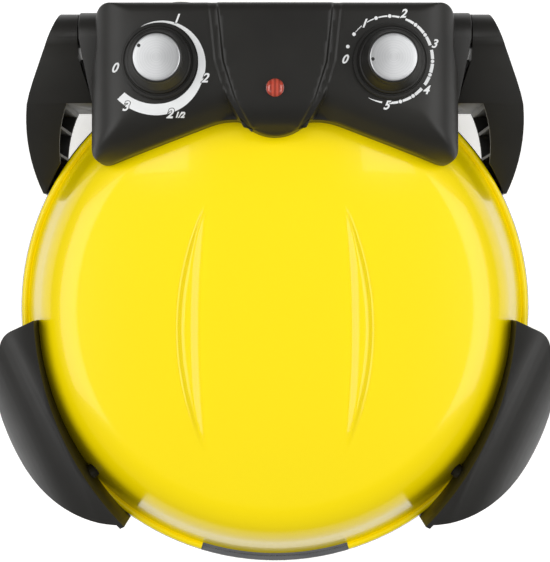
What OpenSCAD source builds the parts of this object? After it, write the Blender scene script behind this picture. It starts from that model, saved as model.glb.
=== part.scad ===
// Electric pizza maker: a round table-top oven with a stone plate in its base and a domed lid that
// is hinged at the back. The lid carries the control housing with a temperature knob, a timer knob
// and a lamp. Millimetres, +Z up, front towards -Y. The origin lies on the table, under the middle
// of the whole oven seen from above.

/* [Rim] */
// Outer radius of the lid's rolled rim
rim_r = 171.3; // [166:0.1:178]
// Radius of the rolled bead along the lid's rim
bead_r = 2.5; // [2:0.1:3]
// Height of the joint between base and lid above the table
parting_z = 63; // [60:0.5:68]
// How far the bright lip of the base stands out past the lid's rim
lip_proud = 1.2; // [0.6:0.1:2]
// Thickness of the painted sheet of pan and dome
sheet_t = 1.2; // [0.8:0.1:1.4]
// Thickness of the bright sheet of the two reflectors
liner_t = 0.8; // [0.5:0.1:1]

/* [Base] */
// Height of the rubber feet
foot_h = 12; // [9:0.5:14]
// Radius of a foot where it meets the pan
foot_r = 13; // [10:0.5:16]
// Distance of each foot from the oven's axis
foot_reach = 106; // [90:1:110]
// Radius of the pan's rounded lower edge
bowl_r = 34; // [28:1:36]
// Lean of the pan's wall, outwards from upright
wall_lean = 12; // [8:1:14]
// Thickness of the stone plate
stone_t = 14; // [10:0.5:16]
// Depth of the stone's upper face below the joint of base and lid
stone_sink = 12; // [10:0.5:15]
// Radius of the heating elements' tube
tube_r = 3.25; // [2.5:0.05:4]

/* [Lid] */
// Height of the dome above the joint of base and lid
dome_rise = 62; // [58:0.5:66]
// Radius of the dome's flat crown
crown_r = 837; // [700:1:1000]
// Radius of the dome's shoulder
shoulder_r = 36; // [30:1:40]
// Lean of the dome's flank, inwards from upright
flank_lean = 23.2; // [20:0.1:26]
// Height of the two embossed crescents
ridge_h = 1.6; // [0.8:0.1:2.4]
// Widest part of an embossed crescent
ridge_w = 15; // [10:0.5:18]
// Length of an embossed crescent from tip to tip
ridge_len = 156; // [130:1:170]
// Half of the front vent's angle
vent_half = 17.2; // [12:0.1:22]
// Depth of the hollow between dome and upper reflector
liner_gap = 9; // [8:0.5:12]

/* [Lid handles] */
// Direction of the handles below the oven's cross axis
handle_turn = 24.9; // [20:0.1:30]
// Radius of the handle's outer edge, seen from above
wing_r = 86.5; // [80:0.5:92]
// Reach of the handle past the lid's rim
wing_reach = 26.7; // [22:0.1:30]
// Height of the handle's upper edge above the joint
fin_rise = 48; // [42:0.5:52]
// Wall thickness of the handles, arms and housing
wall = 2.8; // [2.2:0.1:3.4]

/* [Hinge] */
// Distance of the hinge axis behind the lid's rim
hinge_back = 5.7; // [5:0.1:8]
// Height of the hinge axis above the joint
hinge_rise = 42; // [38:0.5:46]
// Radius of the arms' barrels
barrel_r = 14; // [12:0.5:14.5]
// Radius of the hinge pins
pin_r = 6; // [4:0.1:7]
// Side gap between an arm and the lid's collar
hinge_gap = 0.6; // [0.4:0.1:1]
// Radial clearance of a shaft or pin that turns
run_fit = 0.05; // [0.02:0.01:0.1]
// Clearance of a piece that is seated for good
seat_fit = 0.05; // [0.02:0.01:0.1]

/* [Control housing] */
// Half width of the housing
housing_half_w = 117.5; // [114:0.5:119]
// Height of the panel above the dome's crown
panel_rise = 22; // [20:0.5:26]
// Radius of the housing's side shoulders
side_round = 28; // [12:0.5:30]
// Radius of the panel's slope towards the front corners
front_round = 34; // [28:1:38]
// Radius of the rounded edge between the panel and its front
brow_r = 25; // [18:0.5:27]
// Distance of each knob from the middle
knob_x = 72.5; // [68:0.5:75]
// Distance of the knobs in front of the hinge axis
knob_front = 22.5; // [21:0.5:26]
// Radius of the lamp's lens
lamp_r = 5.3; // [4:0.1:6.5]

/* [Knobs] */
// Radius of the knob's skirt
skirt_r = 23.7; // [19:0.1:24.5]
// Radius of the knob's bright cap
cap_r = 14.7; // [12:0.1:15.5]
// Height of the knob
knob_h = 20; // [17:0.5:24]
// Radius of the knob's shaft
shaft_r = 3; // [2.5:0.1:3.2]
// Where the temperature knob points
temp_point = 147; // [0:1:359]
// Where the timer knob points
timer_point = 186; // [0:1:359]

/* [Hidden] */
$fn = 96;

yellow = "#ffe600";
black = "#33322f";
steel = "#c8c9cb";
bright = "#dddddd";
stone_buff = "#cdbfa4";
big = 400;          // longer than the oven, for cutting tools
air = 0.3;          // gap left where two pieces only face each other
hole_ease = 0.2;    // a screw's play in a hole that it only passes through
cut_down = 40;      // how far below the crown a cut through the dome starts
cut_long = 60;      // length of such a cut
rivet_r = 1.6;
rivet_hole_r = 1.7;

// Heights and places that several pieces share
lip_r = rim_r + lip_proud;
lip_roll = 1.3;
pan_top_z = parting_z - 3;
pan_r = rim_r - 5.8;
pan_flange_r = lip_r - 2 * lip_roll - 0.7;
wall_gap = 2.3;
stone_top_z = parting_z - stone_sink;
ledge_z = stone_top_z - stone_t;
dish_z = foot_h + sheet_t + 4.8;
dome_top_z = parting_z + dome_rise;
hinge_y = rim_r + hinge_back;
hinge_z = parting_z + hinge_rise;
collar_r = barrel_r + 1;
collar_x = housing_half_w + 9;
arm_x = collar_x - 2.5;     // the arms are drawn from here
rear_w = housing_half_w - 4;
collar_in = rear_w - 7;     // inner end of the collars that hold the bushes
bush_sunk = 0.2;            // how far the bushes' ends lie inside the collars' faces
tray_z = hinge_z - 5;
tray_t = 2;
panel_z = dome_top_z + panel_rise;
housing_back = collar_r + 0.5;
gland_proud = 3;
// The oven's own axis lies this far in front of the origin
oven_y = (lip_r - (hinge_y + housing_back + gland_proud)) / 2;

function arc_pts(c, r, a0, a1, n) =
    [for (i = [0:n]) let (a = a0 + (a1 - a0) * i / n) c + r * [cos(a), sin(a)]];
function reversed(p) = [for (i = [len(p) - 1:-1:0]) p[i]];
function mirrored(p) = [for (q = reversed(p)) [-q[0], q[1]]];
function moved(p, v) = [for (q = p) q + v];
// Radius of an arc with this half chord and rise
function bulge_r(half, rise) = (half * half + rise * rise) / (2 * rise);
// Points of an arc from p to q that bulges to its right
function arc_between(p, q, rise, n) =
    let (d = q - p, half = norm(d) / 2, r = bulge_r(half, rise), u = d / norm(d),
         c = (p + q) / 2 + (r - rise) * [-u[1], u[0]],
         a0 = atan2(p[1] - c[1], p[0] - c[0]), turn = 2 * asin(half / r))
    arc_pts(c, r, a0, a0 + turn, n);

module at_oven() translate([0, oven_y, 0]) children();
module at_hinge() translate([0, hinge_y, hinge_z]) children();
module both_sides() { children(); mirror([1, 0, 0]) children(); }
// An outline drawn as (Y, Z) and pulled along X
module along_x(x0, x1) translate([x0, 0, 0]) rotate([90, 0, 90]) linear_extrude(x1 - x0) children();
// An outline drawn as (X, Z) and pulled along Y
module along_y(y0, y1) translate([0, y1, 0]) rotate([90, 0, 0]) linear_extrude(y1 - y0) children();
// A round bar between two points
module bar(p, q, r) {
    d = q - p;
    translate(p) rotate([0, acos(d[2] / norm(d)), atan2(d[1], d[0])]) cylinder(r = r, h = norm(d));
}
// Round bars through a list of points, with a slightly thicker ball at each inner bend
module bent_bar(pts, r) {
    for (i = [0:len(pts) - 2]) bar(pts[i], pts[i + 1], r);
    for (i = [1:len(pts) - 2]) translate(pts[i]) sphere(r = r + 0.1, $fn = 32);
}

// ---------------------------------------------------------------- base pan and its liner

// Outer radius of the pan's wall at a height, along its straight part
function pan_wall_r(z) = pan_r - (pan_top_z - z) * tan(wall_lean);
bowl_z = foot_h + bowl_r;
bowl_x = pan_r + ((bowl_z - pan_top_z) * sin(wall_lean) - bowl_r) / cos(wall_lean);
// The pan's outer line from the axis up to z_top, moved outwards by d
function pan_curve(d, z_top) = concat(
    [[0, foot_h - d]],
    arc_pts([bowl_x, bowl_z], bowl_r + d, -90, -wall_lean, 8),
    [[pan_wall_r(z_top) + d / cos(wall_lean), z_top]]);
// The space that the pan fills, grown by d
module pan_solid(d)
    rotate_extrude() polygon(concat(pan_curve(d, pan_top_z + sheet_t), [[0, pan_top_z + sheet_t]]));
// Puts +Z along the wall's outward normal, with the origin on the pan's outer face
module at_pan_wall(a, z)
    rotate([0, 0, a]) translate([pan_wall_r(z), 0, z]) rotate([0, 90 + wall_lean, 0]) children();

screw_z = parting_z - 17;
screw_r = 1.9;
screw_head_r = 4;
screw_head_t = 1.3;
screw_len = 12;
head_ease = 0.12;   // lets a flat head sit in the curved wall
boss_r = 4.6;
base_handle_screw_turns = [-16, 16];
arm_screw_turns = [31, 52];
wire_r = 2.2;
wire_z = 30.5;
wire_rise = 11.5;

// Angles, ccw from +X, of every screw through the pan's wall
pan_screw_angles = concat(
    [for (a = base_handle_screw_turns) -handle_turn + a],
    [for (a = base_handle_screw_turns) 180 + handle_turn + a],
    arm_screw_turns, [for (a = arm_screw_turns) 180 - a]);
// The wires leave the pan along this line, up into the right arm
wire_ring_r = pan_wall_r(wire_z) - 7.6;
wire_x = housing_half_w - 5.5;
wire_start = [wire_x, sqrt(wire_ring_r * wire_ring_r - wire_x * wire_x) - 1.5, wire_z];
wire_rim_gap = 0.7;         // between the rising wire and the bright lip
wire_end = [wire_x, sqrt(pow(lip_r + wire_r + wire_rim_gap, 2) - wire_x * wire_x), wire_z + wire_rise];
foot_angles = [for (i = [0:3]) 45 + 90 * i];
module at_feet() for (a = foot_angles) rotate([0, 0, a]) translate([foot_reach, 0, 0]) children();

module base_pan() color(yellow) at_oven() difference() {
    union() {
        rotate_extrude() polygon(concat(
            pan_curve(0, pan_top_z + sheet_t), reversed(pan_curve(-sheet_t, pan_top_z + sheet_t))));
        // Turned-out flange that carries the reflector's rim
        rotate_extrude() translate([pan_r - sheet_t / 2, pan_top_z])
            square([pan_flange_r - pan_r + sheet_t / 2, sheet_t]);
    }
    for (a = pan_screw_angles) at_pan_wall(a, screw_z)
        translate([0, 0, -3 * sheet_t]) cylinder(r = screw_r + hole_ease, h = 6 * sheet_t);
    at_feet() translate([0, 0, foot_h - sheet_t]) cylinder(r = screw_r + hole_ease, h = 3 * sheet_t);
    bar(wire_start, wire_end, wire_r + 0.8);
}

liner_top_z = parting_z - lip_roll - air;
function liner_wall_r(z) = pan_wall_r(z) - sheet_t / cos(wall_lean) - wall_gap;
stone_r = liner_wall_r(ledge_z) - liner_t - 1.3;
ledge_in_r = stone_r - 9;
dish_wall_r = ledge_in_r - 3;
dish_floor_r = dish_wall_r - 8;
dish_corner_z = dish_z + 6;

// A sheet of thickness t on the inner side of a line that runs from the axis outwards
function sheet(p, t) = concat(p, [for (q = reversed(p)) [max(q[0] - t, 0), q[1] + t]]);
element_z = dish_z + 11;
leg_x = 9;
leg_hole_r = 5;

module lower_reflector() color(bright) at_oven() difference() {
    rotate_extrude() union() {
        polygon(sheet([
            [0, dish_z], [dish_floor_r, dish_z], [dish_wall_r, dish_corner_z],
            [ledge_in_r, ledge_z - liner_t], [liner_wall_r(ledge_z), ledge_z - liner_t],
            [liner_wall_r(liner_top_z), liner_top_z], [lip_r - lip_roll, liner_top_z]], liner_t));
        translate([lip_r - lip_roll, liner_top_z]) circle(r = lip_roll, $fn = 32);
    }
    for (s = [-1, 1]) translate([s * leg_x, dish_wall_r - 20, element_z])
        rotate([-90, 0, 0]) cylinder(r = leg_hole_r, h = 40);
    lower_clip_spots() translate([0, 0, dish_z - 1]) cylinder(r = rivet_hole_r, h = 4);
}

module refractory_stone() color(stone_buff) at_oven() rotate_extrude() {
    edge = 1.5;
    polygon([[0, ledge_z], [stone_r - edge, ledge_z], [stone_r, ledge_z + edge],
             [stone_r, stone_top_z - edge], [stone_r - edge, stone_top_z], [0, stone_top_z]]);
}

tab_angles = [30, 150, 270];
tab_half = 3.4;
module stone_tabs() color(bright) at_oven() for (a = tab_angles) rotate([0, 0, a - tab_half]) {
    nose_z = stone_top_z + air;
    foot_z = liner_top_z - 2;
    face_lo = liner_wall_r(nose_z - liner_t) - liner_t - seat_fit;
    face_hi = liner_wall_r(foot_z - liner_t) - liner_t - seat_fit;
    rotate_extrude(angle = 2 * tab_half) polygon([
        [face_lo, nose_z], [face_hi, foot_z], [face_hi - liner_t, foot_z],
        [face_lo - liner_t, nose_z + liner_t], [stone_r - 4, nose_z + liner_t],
        [stone_r - 4, nose_z]]);
}

// ---------------------------------------------------------------- heating elements

element_out_r = stone_r - 31;
element_in_r = element_out_r - 52;
turn_gap = 20;      // half angle between the two hairpins at the front
// One tube: both outer arcs start at the legs, turn back at the front and meet in the inner ring
module element_loop() {
    leg_turn = asin(leg_x / element_out_r);
    sweep = 180 - leg_turn - turn_gap;
    mid_r = (element_out_r + element_in_r) / 2;
    for (s = [0, 1]) mirror([s, 0, 0]) {
        rotate([0, 0, 90 + leg_turn]) rotate_extrude(angle = sweep)
            translate([element_out_r, 0]) circle(r = tube_r);
        rotate([0, 0, -90 - turn_gap]) translate([mid_r, 0, 0]) rotate_extrude(angle = 180)
            translate([mid_r - element_in_r, 0]) circle(r = tube_r);
    }
    rotate([0, 0, turn_gap - 90]) rotate_extrude(angle = 360 - 2 * turn_gap)
        translate([element_in_r, 0]) circle(r = tube_r);
}
leg_y = sqrt(element_out_r * element_out_r - leg_x * leg_x);
insulator_len = 9;
terminal_r = 1.2;
lower_leg_end = dish_wall_r + 3;
module lower_element() color(steel) at_oven() translate([0, 0, element_z]) {
    element_loop();
    for (s = [-1, 1]) translate([s * leg_x, leg_y - 1.5, 0]) rotate([-90, 0, 0]) {
        cylinder(r = tube_r, h = lower_leg_end - leg_y + 1.5);
        cylinder(r = terminal_r, h = lower_leg_end - leg_y + 7.5);
    }
}
module lower_element_insulators() color("white") at_oven() for (s = [-1, 1])
    translate([s * leg_x, lower_leg_end - insulator_len, element_z]) rotate([-90, 0, 0])
    difference() {
        cylinder(r = leg_hole_r - seat_fit, h = insulator_len);
        translate([0, 0, -1]) cylinder(r = tube_r + seat_fit, h = insulator_len + 2);
    }

clip_w = 7;
clip_t = 1.2;
clip_ease = 0.15;    // lets the straight collar sit on the curved tube
clip_angles = [0, 120, 240];
clip_mid_r = (element_out_r + element_in_r) / 2;
module lower_clip_spots() for (a = clip_angles) rotate([0, 0, a + 30])
    translate([clip_mid_r, 0, 0]) children();
// A strap along the radius that bridges the two rings, with a collar round each tube
module element_bridge() {
    rise = tube_r + clip_t;
    for (r = [element_out_r, element_in_r]) translate([r - clip_mid_r, 0, 0])
        rotate([90, 0, 0]) difference() {
            cylinder(r = rise, h = clip_w, center = true);
            cylinder(r = tube_r + clip_ease, h = clip_w + 2, center = true);
        }
    reach = (element_out_r - element_in_r) / 2 - tube_r - 0.4;
    translate([-reach, -clip_w / 2, -clip_t / 2]) cube([2 * reach, clip_w, clip_t]);
}
module lower_element_clips() color(steel) at_oven() lower_clip_spots() {
    translate([0, 0, element_z]) element_bridge();
    translate([0, 0, dish_z + liner_t + seat_fit])
        cylinder(r = 3, h = element_z - dish_z - liner_t - seat_fit);
    // Rivet through the reflector's floor
    translate([0, 0, dish_z - 0.9]) cylinder(r = rivet_r, h = 3);
}

// ---------------------------------------------------------------- feet and base handles

module feet() color(black) at_oven() at_feet() difference() {
    union() {
        cylinder(r1 = foot_r - 2, r2 = foot_r - 1.5, h = 2);
        translate([0, 0, 2]) cylinder(r1 = foot_r - 1.5, r2 = foot_r, h = foot_h - 2);
    }
    translate([0, 0, 4]) cylinder(r = screw_r + seat_fit, h = foot_h);
    translate([0, 0, -1]) cylinder(r = screw_head_r + 1, h = 5);
}
module foot_screws() color(steel) at_oven() at_feet() {
    translate([0, 0, 4 - screw_head_t]) cylinder(r = screw_head_r, h = screw_head_t);
    translate([0, 0, 4 - screw_head_t]) cylinder(r = screw_r, h = foot_h + sheet_t + 2.6 - 4);
    translate([0, 0, foot_h + sheet_t + seat_fit]) cylinder(r = 3.4, h = 2.4, $fn = 6);
}

// Turns a handle's own frame to the right side: local X along the rim to the rear, Y outwards
module at_handle() rotate([0, 0, -handle_turn - 90]) translate([0, rim_r, 0]) mirror([1, 0, 0]) children();
fin_r = 204.4;
fin_half = 69;
fin_mid = -18.4;
fin_in = 11.1;
wing_mid = -8;
wing_back = 58.5;
wing_corner_r = 14;
// Centre of the rounded rear corner, which touches the outer edge and the rear end
wing_corner = [wing_back - wing_corner_r, wing_reach - wing_r
    + sqrt(pow(wing_r - wing_corner_r, 2) - pow(wing_back - wing_corner_r - wing_mid, 2))];
// A handle seen from above, grown smaller by i: a crescent between the fin and the outer edge
module handle_plan(i) difference() {
    intersection() {
        translate([wing_mid, wing_reach - wing_r]) circle(r = wing_r - i);
        translate([-big / 2, -80]) square([wing_back - i + big / 2, 160]);
    }
    translate([fin_mid, -fin_in - fin_r]) circle(r = fin_r + i);
    difference() {
        polygon([wing_corner, wing_corner + [60, 0],
                 wing_corner + (wing_corner - [wing_mid, wing_reach - wing_r])]);
        translate(wing_corner) circle(r = wing_corner_r - i);
    }
}

base_handle_top = pan_top_z - 0.9;
base_handle_low = screw_z - 14;
module base_handle_shape(i) intersection() {
    linear_extrude(big) handle_plan(i + 2);
    along_x(-big, big) polygon(concat(
        [[-60, base_handle_low], [-7, base_handle_low]],
        arc_between([-4, base_handle_low], [wing_reach - 2, base_handle_top - 9], 4, 8),
        [[wing_reach, base_handle_top - i], [-60, base_handle_top - i]]));
}
module base_handle_right_solid() {
    difference() {
        at_handle() base_handle_shape(0);
        difference() {
            at_handle() translate([0, 0, -big / 2]) intersection() {
                linear_extrude(big) handle_plan(wall + 2);
                translate([-big / 2, -big / 2, 0]) cube([big, big, base_handle_top - wall + big / 2]);
            }
            pan_solid(air + wall);
            // Ribs that carry the screw bosses
            for (a = base_handle_screw_turns) rotate([0, 0, -handle_turn + a])
                translate([pan_r - 20, -wall / 2, screw_z - boss_r]) cube([60, wall, 40]);
            for (a = base_handle_screw_turns) at_pan_wall(-handle_turn + a, screw_z)
                cylinder(r = boss_r, h = screw_len + 2);
        }
        pan_solid(air);
        for (a = base_handle_screw_turns) at_pan_wall(-handle_turn + a, screw_z)
            cylinder(r = screw_r + seat_fit, h = screw_len + 0.4);
    }
}
module base_handle_right() color(black) at_oven() base_handle_right_solid();
module base_handle_left() color(black) at_oven() mirror([1, 0, 0]) base_handle_right_solid();

module base_screws() color(steel) at_oven() for (a = pan_screw_angles) at_pan_wall(a, screw_z) {
    translate([0, 0, -sheet_t - head_ease - screw_head_t]) {
        cylinder(r = screw_head_r, h = screw_head_t);
        cylinder(r = screw_r, h = screw_len + sheet_t + screw_head_t);
    }
}

// ---------------------------------------------------------------- hinge arms and pins

// The arm is drawn from the hinge axis, near the collar's outer face, for the right side
arm_top = [-2.4, barrel_r - 0.2];
arm_tip = [-101, -44];
arm_low = screw_z - 12 - hinge_z;
arm_out_r = 105;
arm_out_c = [40.4 - arm_out_r, -62.3];
arm_in_r = 82;
arm_in_c = [20 - arm_in_r, -77];
web_front = -43;
web_back = -14;
web_top = -9;
web_low = -43;
web_in = -26;
foot_w = 20;
stop_back = -8;
stop_top = -13.5;
pin_end = 12;
pin_start = collar_in - collar_x + bush_sunk;
duct_r = wire_r + 1;
duct_x = wire_x - arm_x;
arm_face = collar_x - arm_x + hinge_gap;
duct_y = wire_end[1] - hinge_y;
pad_r = 8;
pad_start = -3;
// The front pad is as long as it takes to reach into the leg
pad_len = [max(16, (arm_x + arm_in_c[0] + arm_in_r + wall) / cos(arm_screw_turns[0])
    - pan_wall_r(screw_z) + 7), 16];

module arm_plan() polygon(concat(
    [[arm_face, barrel_r + 1], [14.4, barrel_r + 1], [23.8, -6.9], [33.6, -29.5], [36.6, -37]],
    arc_pts(arm_out_c, arm_out_r, 10.3, -21, 10),
    [[15.5, -101.5]],
    arc_pts(arm_in_c, arm_in_r, -16, 21.5, 8),
    [[12.5, web_front], [arm_face - 7.9, web_front], [arm_face, -collar_r - hinge_gap]]));
// The arm from the side as (Y, Z), smaller by i; its lower edge lies at the height low
module arm_side(i, low) polygon(concat(
    moved(arc_between(arm_top, arm_tip, 4, 8), [0.5, -0.86] * i),
    [[arm_tip[0], low + 3 + i], [arm_tip[0] + 12, low + i]],
    i > 0 ? [[11.5, low + i]] : arc_between([-38, low], [11.5, -8], 5, 6)));
module arm_leg_hollow() intersection() {
    linear_extrude(big, center = true) intersection() {
        translate(arm_out_c) circle(r = arm_out_r - wall);
        translate([-40, -97.5]) square([100, 97.5 + web_front - wall]);
    }
    along_x(6, 60) arm_side(wall, arm_low);
}
// Pocket behind the leg, open downwards
module arm_back_hollow() intersection() {
    translate([6, web_front + wall, -big])
        cube([60, web_back - web_front - wall, big + web_top - wall]);
    translate([-wall, 0, 0]) linear_extrude(big, center = true) arm_plan();
    along_x(0, 60) arm_side(wall, -big / 2);
}
rib_t = 1.8;
rib_ys = [-57.6, -74.8, -91];
module arm_foot() difference() {
    translate([web_in, -69, arm_low]) cube([foot_w, 69 + web_back, web_low - arm_low + 1]);
    translate([duct_x - duct_r, -70, arm_low - 1])
        cube([2 * duct_r, 70 + duct_y + duct_r + 10, web_low - arm_low - 3]);
}
module arm_right_solid() difference() {
    union() {
        translate([arm_x, 0, 0]) at_hinge() {
            difference() {
                intersection() {
                    linear_extrude(big, center = true) arm_plan();
                    along_x(-40, 60) union() {
                        arm_side(0, arm_low);
                        circle(r = barrel_r);
                    }
                }
                arm_leg_hollow();
                arm_back_hollow();
                // Below the web only the leg goes down
                translate([-40, web_front - 0.01, -big])
                    cube([40 + 6 - wall, big, big + web_low]);
            }
            intersection() {
                for (y = rib_ys) translate([0, y - rib_t / 2, -big / 2]) cube([60, rib_t, big]);
                linear_extrude(big, center = true) arm_plan();
                along_x(0, 60) arm_side(0, arm_low);
            }
            // Web behind the oven, with the stop that the open lid rests on
            translate([web_in, web_front, web_low])
                cube([7 - web_in, web_back - web_front, web_top - web_low]);
            translate([web_in, web_back - 4, 2 * stop_top])
                cube([18, 4 + stop_back - web_back, -stop_top]);
            arm_foot();
        }
        // Pads that hold the pan's screws
        for (i = [0, 1]) at_pan_wall(arm_screw_turns[i], screw_z)
            translate([0, 0, pad_start]) cylinder(r = pad_r, h = pad_len[i]);
    }
    pan_solid(air);
    // Room under and round the lid's rim
    translate([0, 0, pan_top_z - 0.5]) cylinder(r = lip_r + 0.9, h = big);
    for (a = arm_screw_turns) at_pan_wall(a, screw_z)
        cylinder(r = screw_r + seat_fit, h = screw_len + 0.4);
    bar(wire_start, wire_end, duct_r);
    translate([collar_x - 1, 0, 0]) at_hinge() rotate([0, 90, 0])
        cylinder(r = pin_r + seat_fit, h = pin_end + 1);
    // Duct for the wires, up through the web
    translate([arm_x, 0, 0]) at_hinge() translate([duct_x, duct_y, arm_low - 1])
        cylinder(r = duct_r, h = 50);
}
module hinge_arm_right() color(black) at_oven() arm_right_solid();
module hinge_arm_left() color(black) at_oven() mirror([1, 0, 0]) arm_right_solid();

module hinge_pin(bore_r) translate([collar_x, 0, 0]) at_hinge() rotate([0, 90, 0]) difference() {
    translate([0, 0, pin_start]) cylinder(r = pin_r, h = pin_end - pin_start - seat_fit);
    if (bore_r > 0) translate([0, 0, pin_start - 1]) cylinder(r = bore_r, h = pin_end - pin_start + 2);
}
module hinge_pin_left() color(steel) at_oven() mirror([1, 0, 0]) hinge_pin(0);
// The right pin is a tube: the wires of the lower element pass through it
module hinge_pin_right() color(steel) at_oven() hinge_pin(pin_r - bush_t);

module base_wiring() color("firebrick") at_oven() {
    turn = acos(wire_x / wire_ring_r);
    rotate([0, 0, turn]) rotate_extrude(angle = 83 - turn)
        translate([wire_ring_r, wire_z]) circle(r = wire_r);
    bar(wire_start, wire_end, wire_r);
    translate(wire_end - [0, 0, wire_r + 0.5])
        cylinder(r = wire_r + 0.1, h = hinge_z + web_low + 12 - wire_end[2]);
}

// ---------------------------------------------------------------- lid dome

flank_n = [cos(flank_lean), sin(flank_lean)];
flank_u = [-sin(flank_lean), cos(flank_lean)];
flank_foot = [rim_r - 1.7 * bead_r, parting_z + bead_r];
crown_c = [0, dome_top_z - crown_r];
shoulder_base = flank_foot - shoulder_r * flank_n - crown_c;
shoulder_up = -shoulder_base * flank_u + sqrt(pow(shoulder_base * flank_u, 2)
    - shoulder_base * shoulder_base + pow(crown_r - shoulder_r, 2));
shoulder_c = crown_c + shoulder_base + shoulder_up * flank_u;
crown_turn = atan2(shoulder_c[1] - crown_c[1], shoulder_c[0]);
// The dome's outer line from its foot to the crown, moved outwards by d
function dome_curve(d) = concat(
    [flank_foot + d * flank_n],
    arc_pts(shoulder_c, shoulder_r + d, flank_lean, crown_turn, 8),
    arc_pts(crown_c, crown_r + d, crown_turn + (90 - crown_turn) / 6, 90, 5));
function flank_r(z) = flank_foot[0] - (z - flank_foot[1]) * tan(flank_lean);
module dome_solid(d) rotate_extrude()
    polygon(concat([[0, parting_z - 10], [flank_foot[0] + d * flank_n[0], parting_z - 10]], dome_curve(d)));
module dome_sheet(d, t) rotate_extrude() polygon(concat(dome_curve(d), reversed(dome_curve(d - t))));
module at_flank(a, z)
    rotate([0, 0, a]) translate([flank_r(z), 0, z]) rotate([0, 90 - flank_lean, 0]) children();

ridge_mid_x = 63;
ridge_y = -13;
ridge_out_rise = 17;
ridge_in_rise = 4;
module ridge_plan(i) difference() {
    out_r = bulge_r(ridge_len / 2, ridge_out_rise);
    in_r = bulge_r(ridge_len / 2 - 4, ridge_in_rise);
    translate([ridge_mid_x - out_r, ridge_y]) circle(r = out_r - i);
    translate([ridge_mid_x - ridge_w - in_r, ridge_y]) circle(r = in_r + i, $fn = 240);
}
// Two steps, the upper one narrower, raise a crescent out of the dome
module ridge() for (i = [0, 1]) intersection() {
    linear_extrude(big) ridge_plan(i * 1.6);
    difference() {
        dome_solid(ridge_h * (i + 1) / 2);
        dome_solid(-sheet_t / 2);
    }
}

handle_screw_z = parting_z + 14;
handle_screw_turns = [-17, 13];
dome_screw_x = 62;
dome_screw_front = 60;
element_up_z = parting_z + 26;
lid_leg_y = leg_y;
vent_z = parting_z + 4.6;
module vent_sweep(half) rotate([0, 0, -90 - half]) rotate_extrude(angle = 2 * half) children();

module lid_dome() color(yellow) at_oven() difference() {
    union() {
        dome_sheet(0, sheet_t);
        rotate_extrude() translate([rim_r - bead_r, parting_z + bead_r]) circle(r = bead_r, $fn = 32);
        both_sides() ridge();
    }
    // Front vent: the rolled rim is left out here and a bright strip shows instead
    vent_sweep(vent_half) translate([flank_foot[0] - 3, parting_z - 2])
        square([20, vent_z - parting_z + 2]);
    both_sides() for (a = handle_screw_turns) at_flank(-handle_turn + a, handle_screw_z)
        translate([0, 0, -6]) cylinder(r = screw_r + hole_ease, h = 12);
    both_sides() translate([dome_screw_x, hinge_y - dome_screw_front, dome_top_z - cut_down])
        cylinder(r = screw_r + hole_ease, h = cut_long);
    both_sides() translate([leg_x, lid_leg_y, dome_top_z - cut_down]) cylinder(r = leg_hole_r, h = cut_long);
}

liner_flange_z = parting_z + 1.2;
module upper_reflector() color(bright) at_oven() difference() {
    union() {
        intersection() {
            dome_sheet(-liner_gap, liner_t);
            translate([0, 0, liner_flange_z]) cylinder(r = big, h = big);
        }
        rotate_extrude() translate([flank_foot[0] - liner_gap - 2, liner_flange_z])
            square([liner_gap + 0.4, liner_t]);
    }
    both_sides() translate([leg_x, lid_leg_y, dome_top_z - cut_long]) cylinder(r = leg_hole_r, h = cut_long);
    upper_clip_spots() translate([0, 0, dome_top_z - cut_long]) cylinder(r = rivet_hole_r, h = cut_long);
}

strip_t = 0.8;
module vent_strip() color(bright) at_oven() vent_sweep(vent_half - 0.4) {
    translate([rim_r - 2.7, parting_z + air]) square([2.5, 2.9]);
    translate([rim_r - 12, parting_z + air]) square([10, liner_flange_z - parting_z - air - seat_fit]);
}

module upper_clip_spots() for (a = clip_angles) rotate([0, 0, a - 30])
    translate([clip_mid_r, 0, 0]) children();
upper_leg_top = dome_top_z + 2;
module upper_element() color(steel) at_oven() {
    translate([0, 0, element_up_z]) element_loop();
    for (s = [-1, 1]) translate([s * leg_x, lid_leg_y, element_up_z - 1.5]) {
        cylinder(r = tube_r, h = upper_leg_top - element_up_z + 1.5);
        cylinder(r = terminal_r, h = upper_leg_top - element_up_z + 8.5);
    }
}
upper_insulator_z = dome_top_z - 19;
module upper_element_insulators() color("white") at_oven() for (s = [-1, 1])
    translate([s * leg_x, lid_leg_y, upper_insulator_z]) difference() {
        cylinder(r = leg_hole_r - seat_fit, h = upper_leg_top - upper_insulator_z - 1);
        translate([0, 0, -1]) cylinder(r = tube_r + seat_fit, h = cut_long);
    }
// Inner face of the upper reflector above a radius
function ceiling_z(r) = crown_c[1] + sqrt(pow(crown_r - liner_gap - liner_t, 2) - r * r);
module upper_element_clips() color(steel) at_oven() upper_clip_spots() {
    top = ceiling_z(clip_mid_r + 3) - seat_fit;
    translate([0, 0, element_up_z]) element_bridge();
    translate([0, 0, element_up_z]) cylinder(r = 3, h = top - element_up_z);
    translate([0, 0, top - 2]) cylinder(r = rivet_r, h = 5);
}

// ---------------------------------------------------------------- lid handles

fin_top_z = parting_z + fin_rise;
wing_low_z = parting_z + 8;
fin_low_z = parting_z + 1;
wing_drop = 33;
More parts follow.
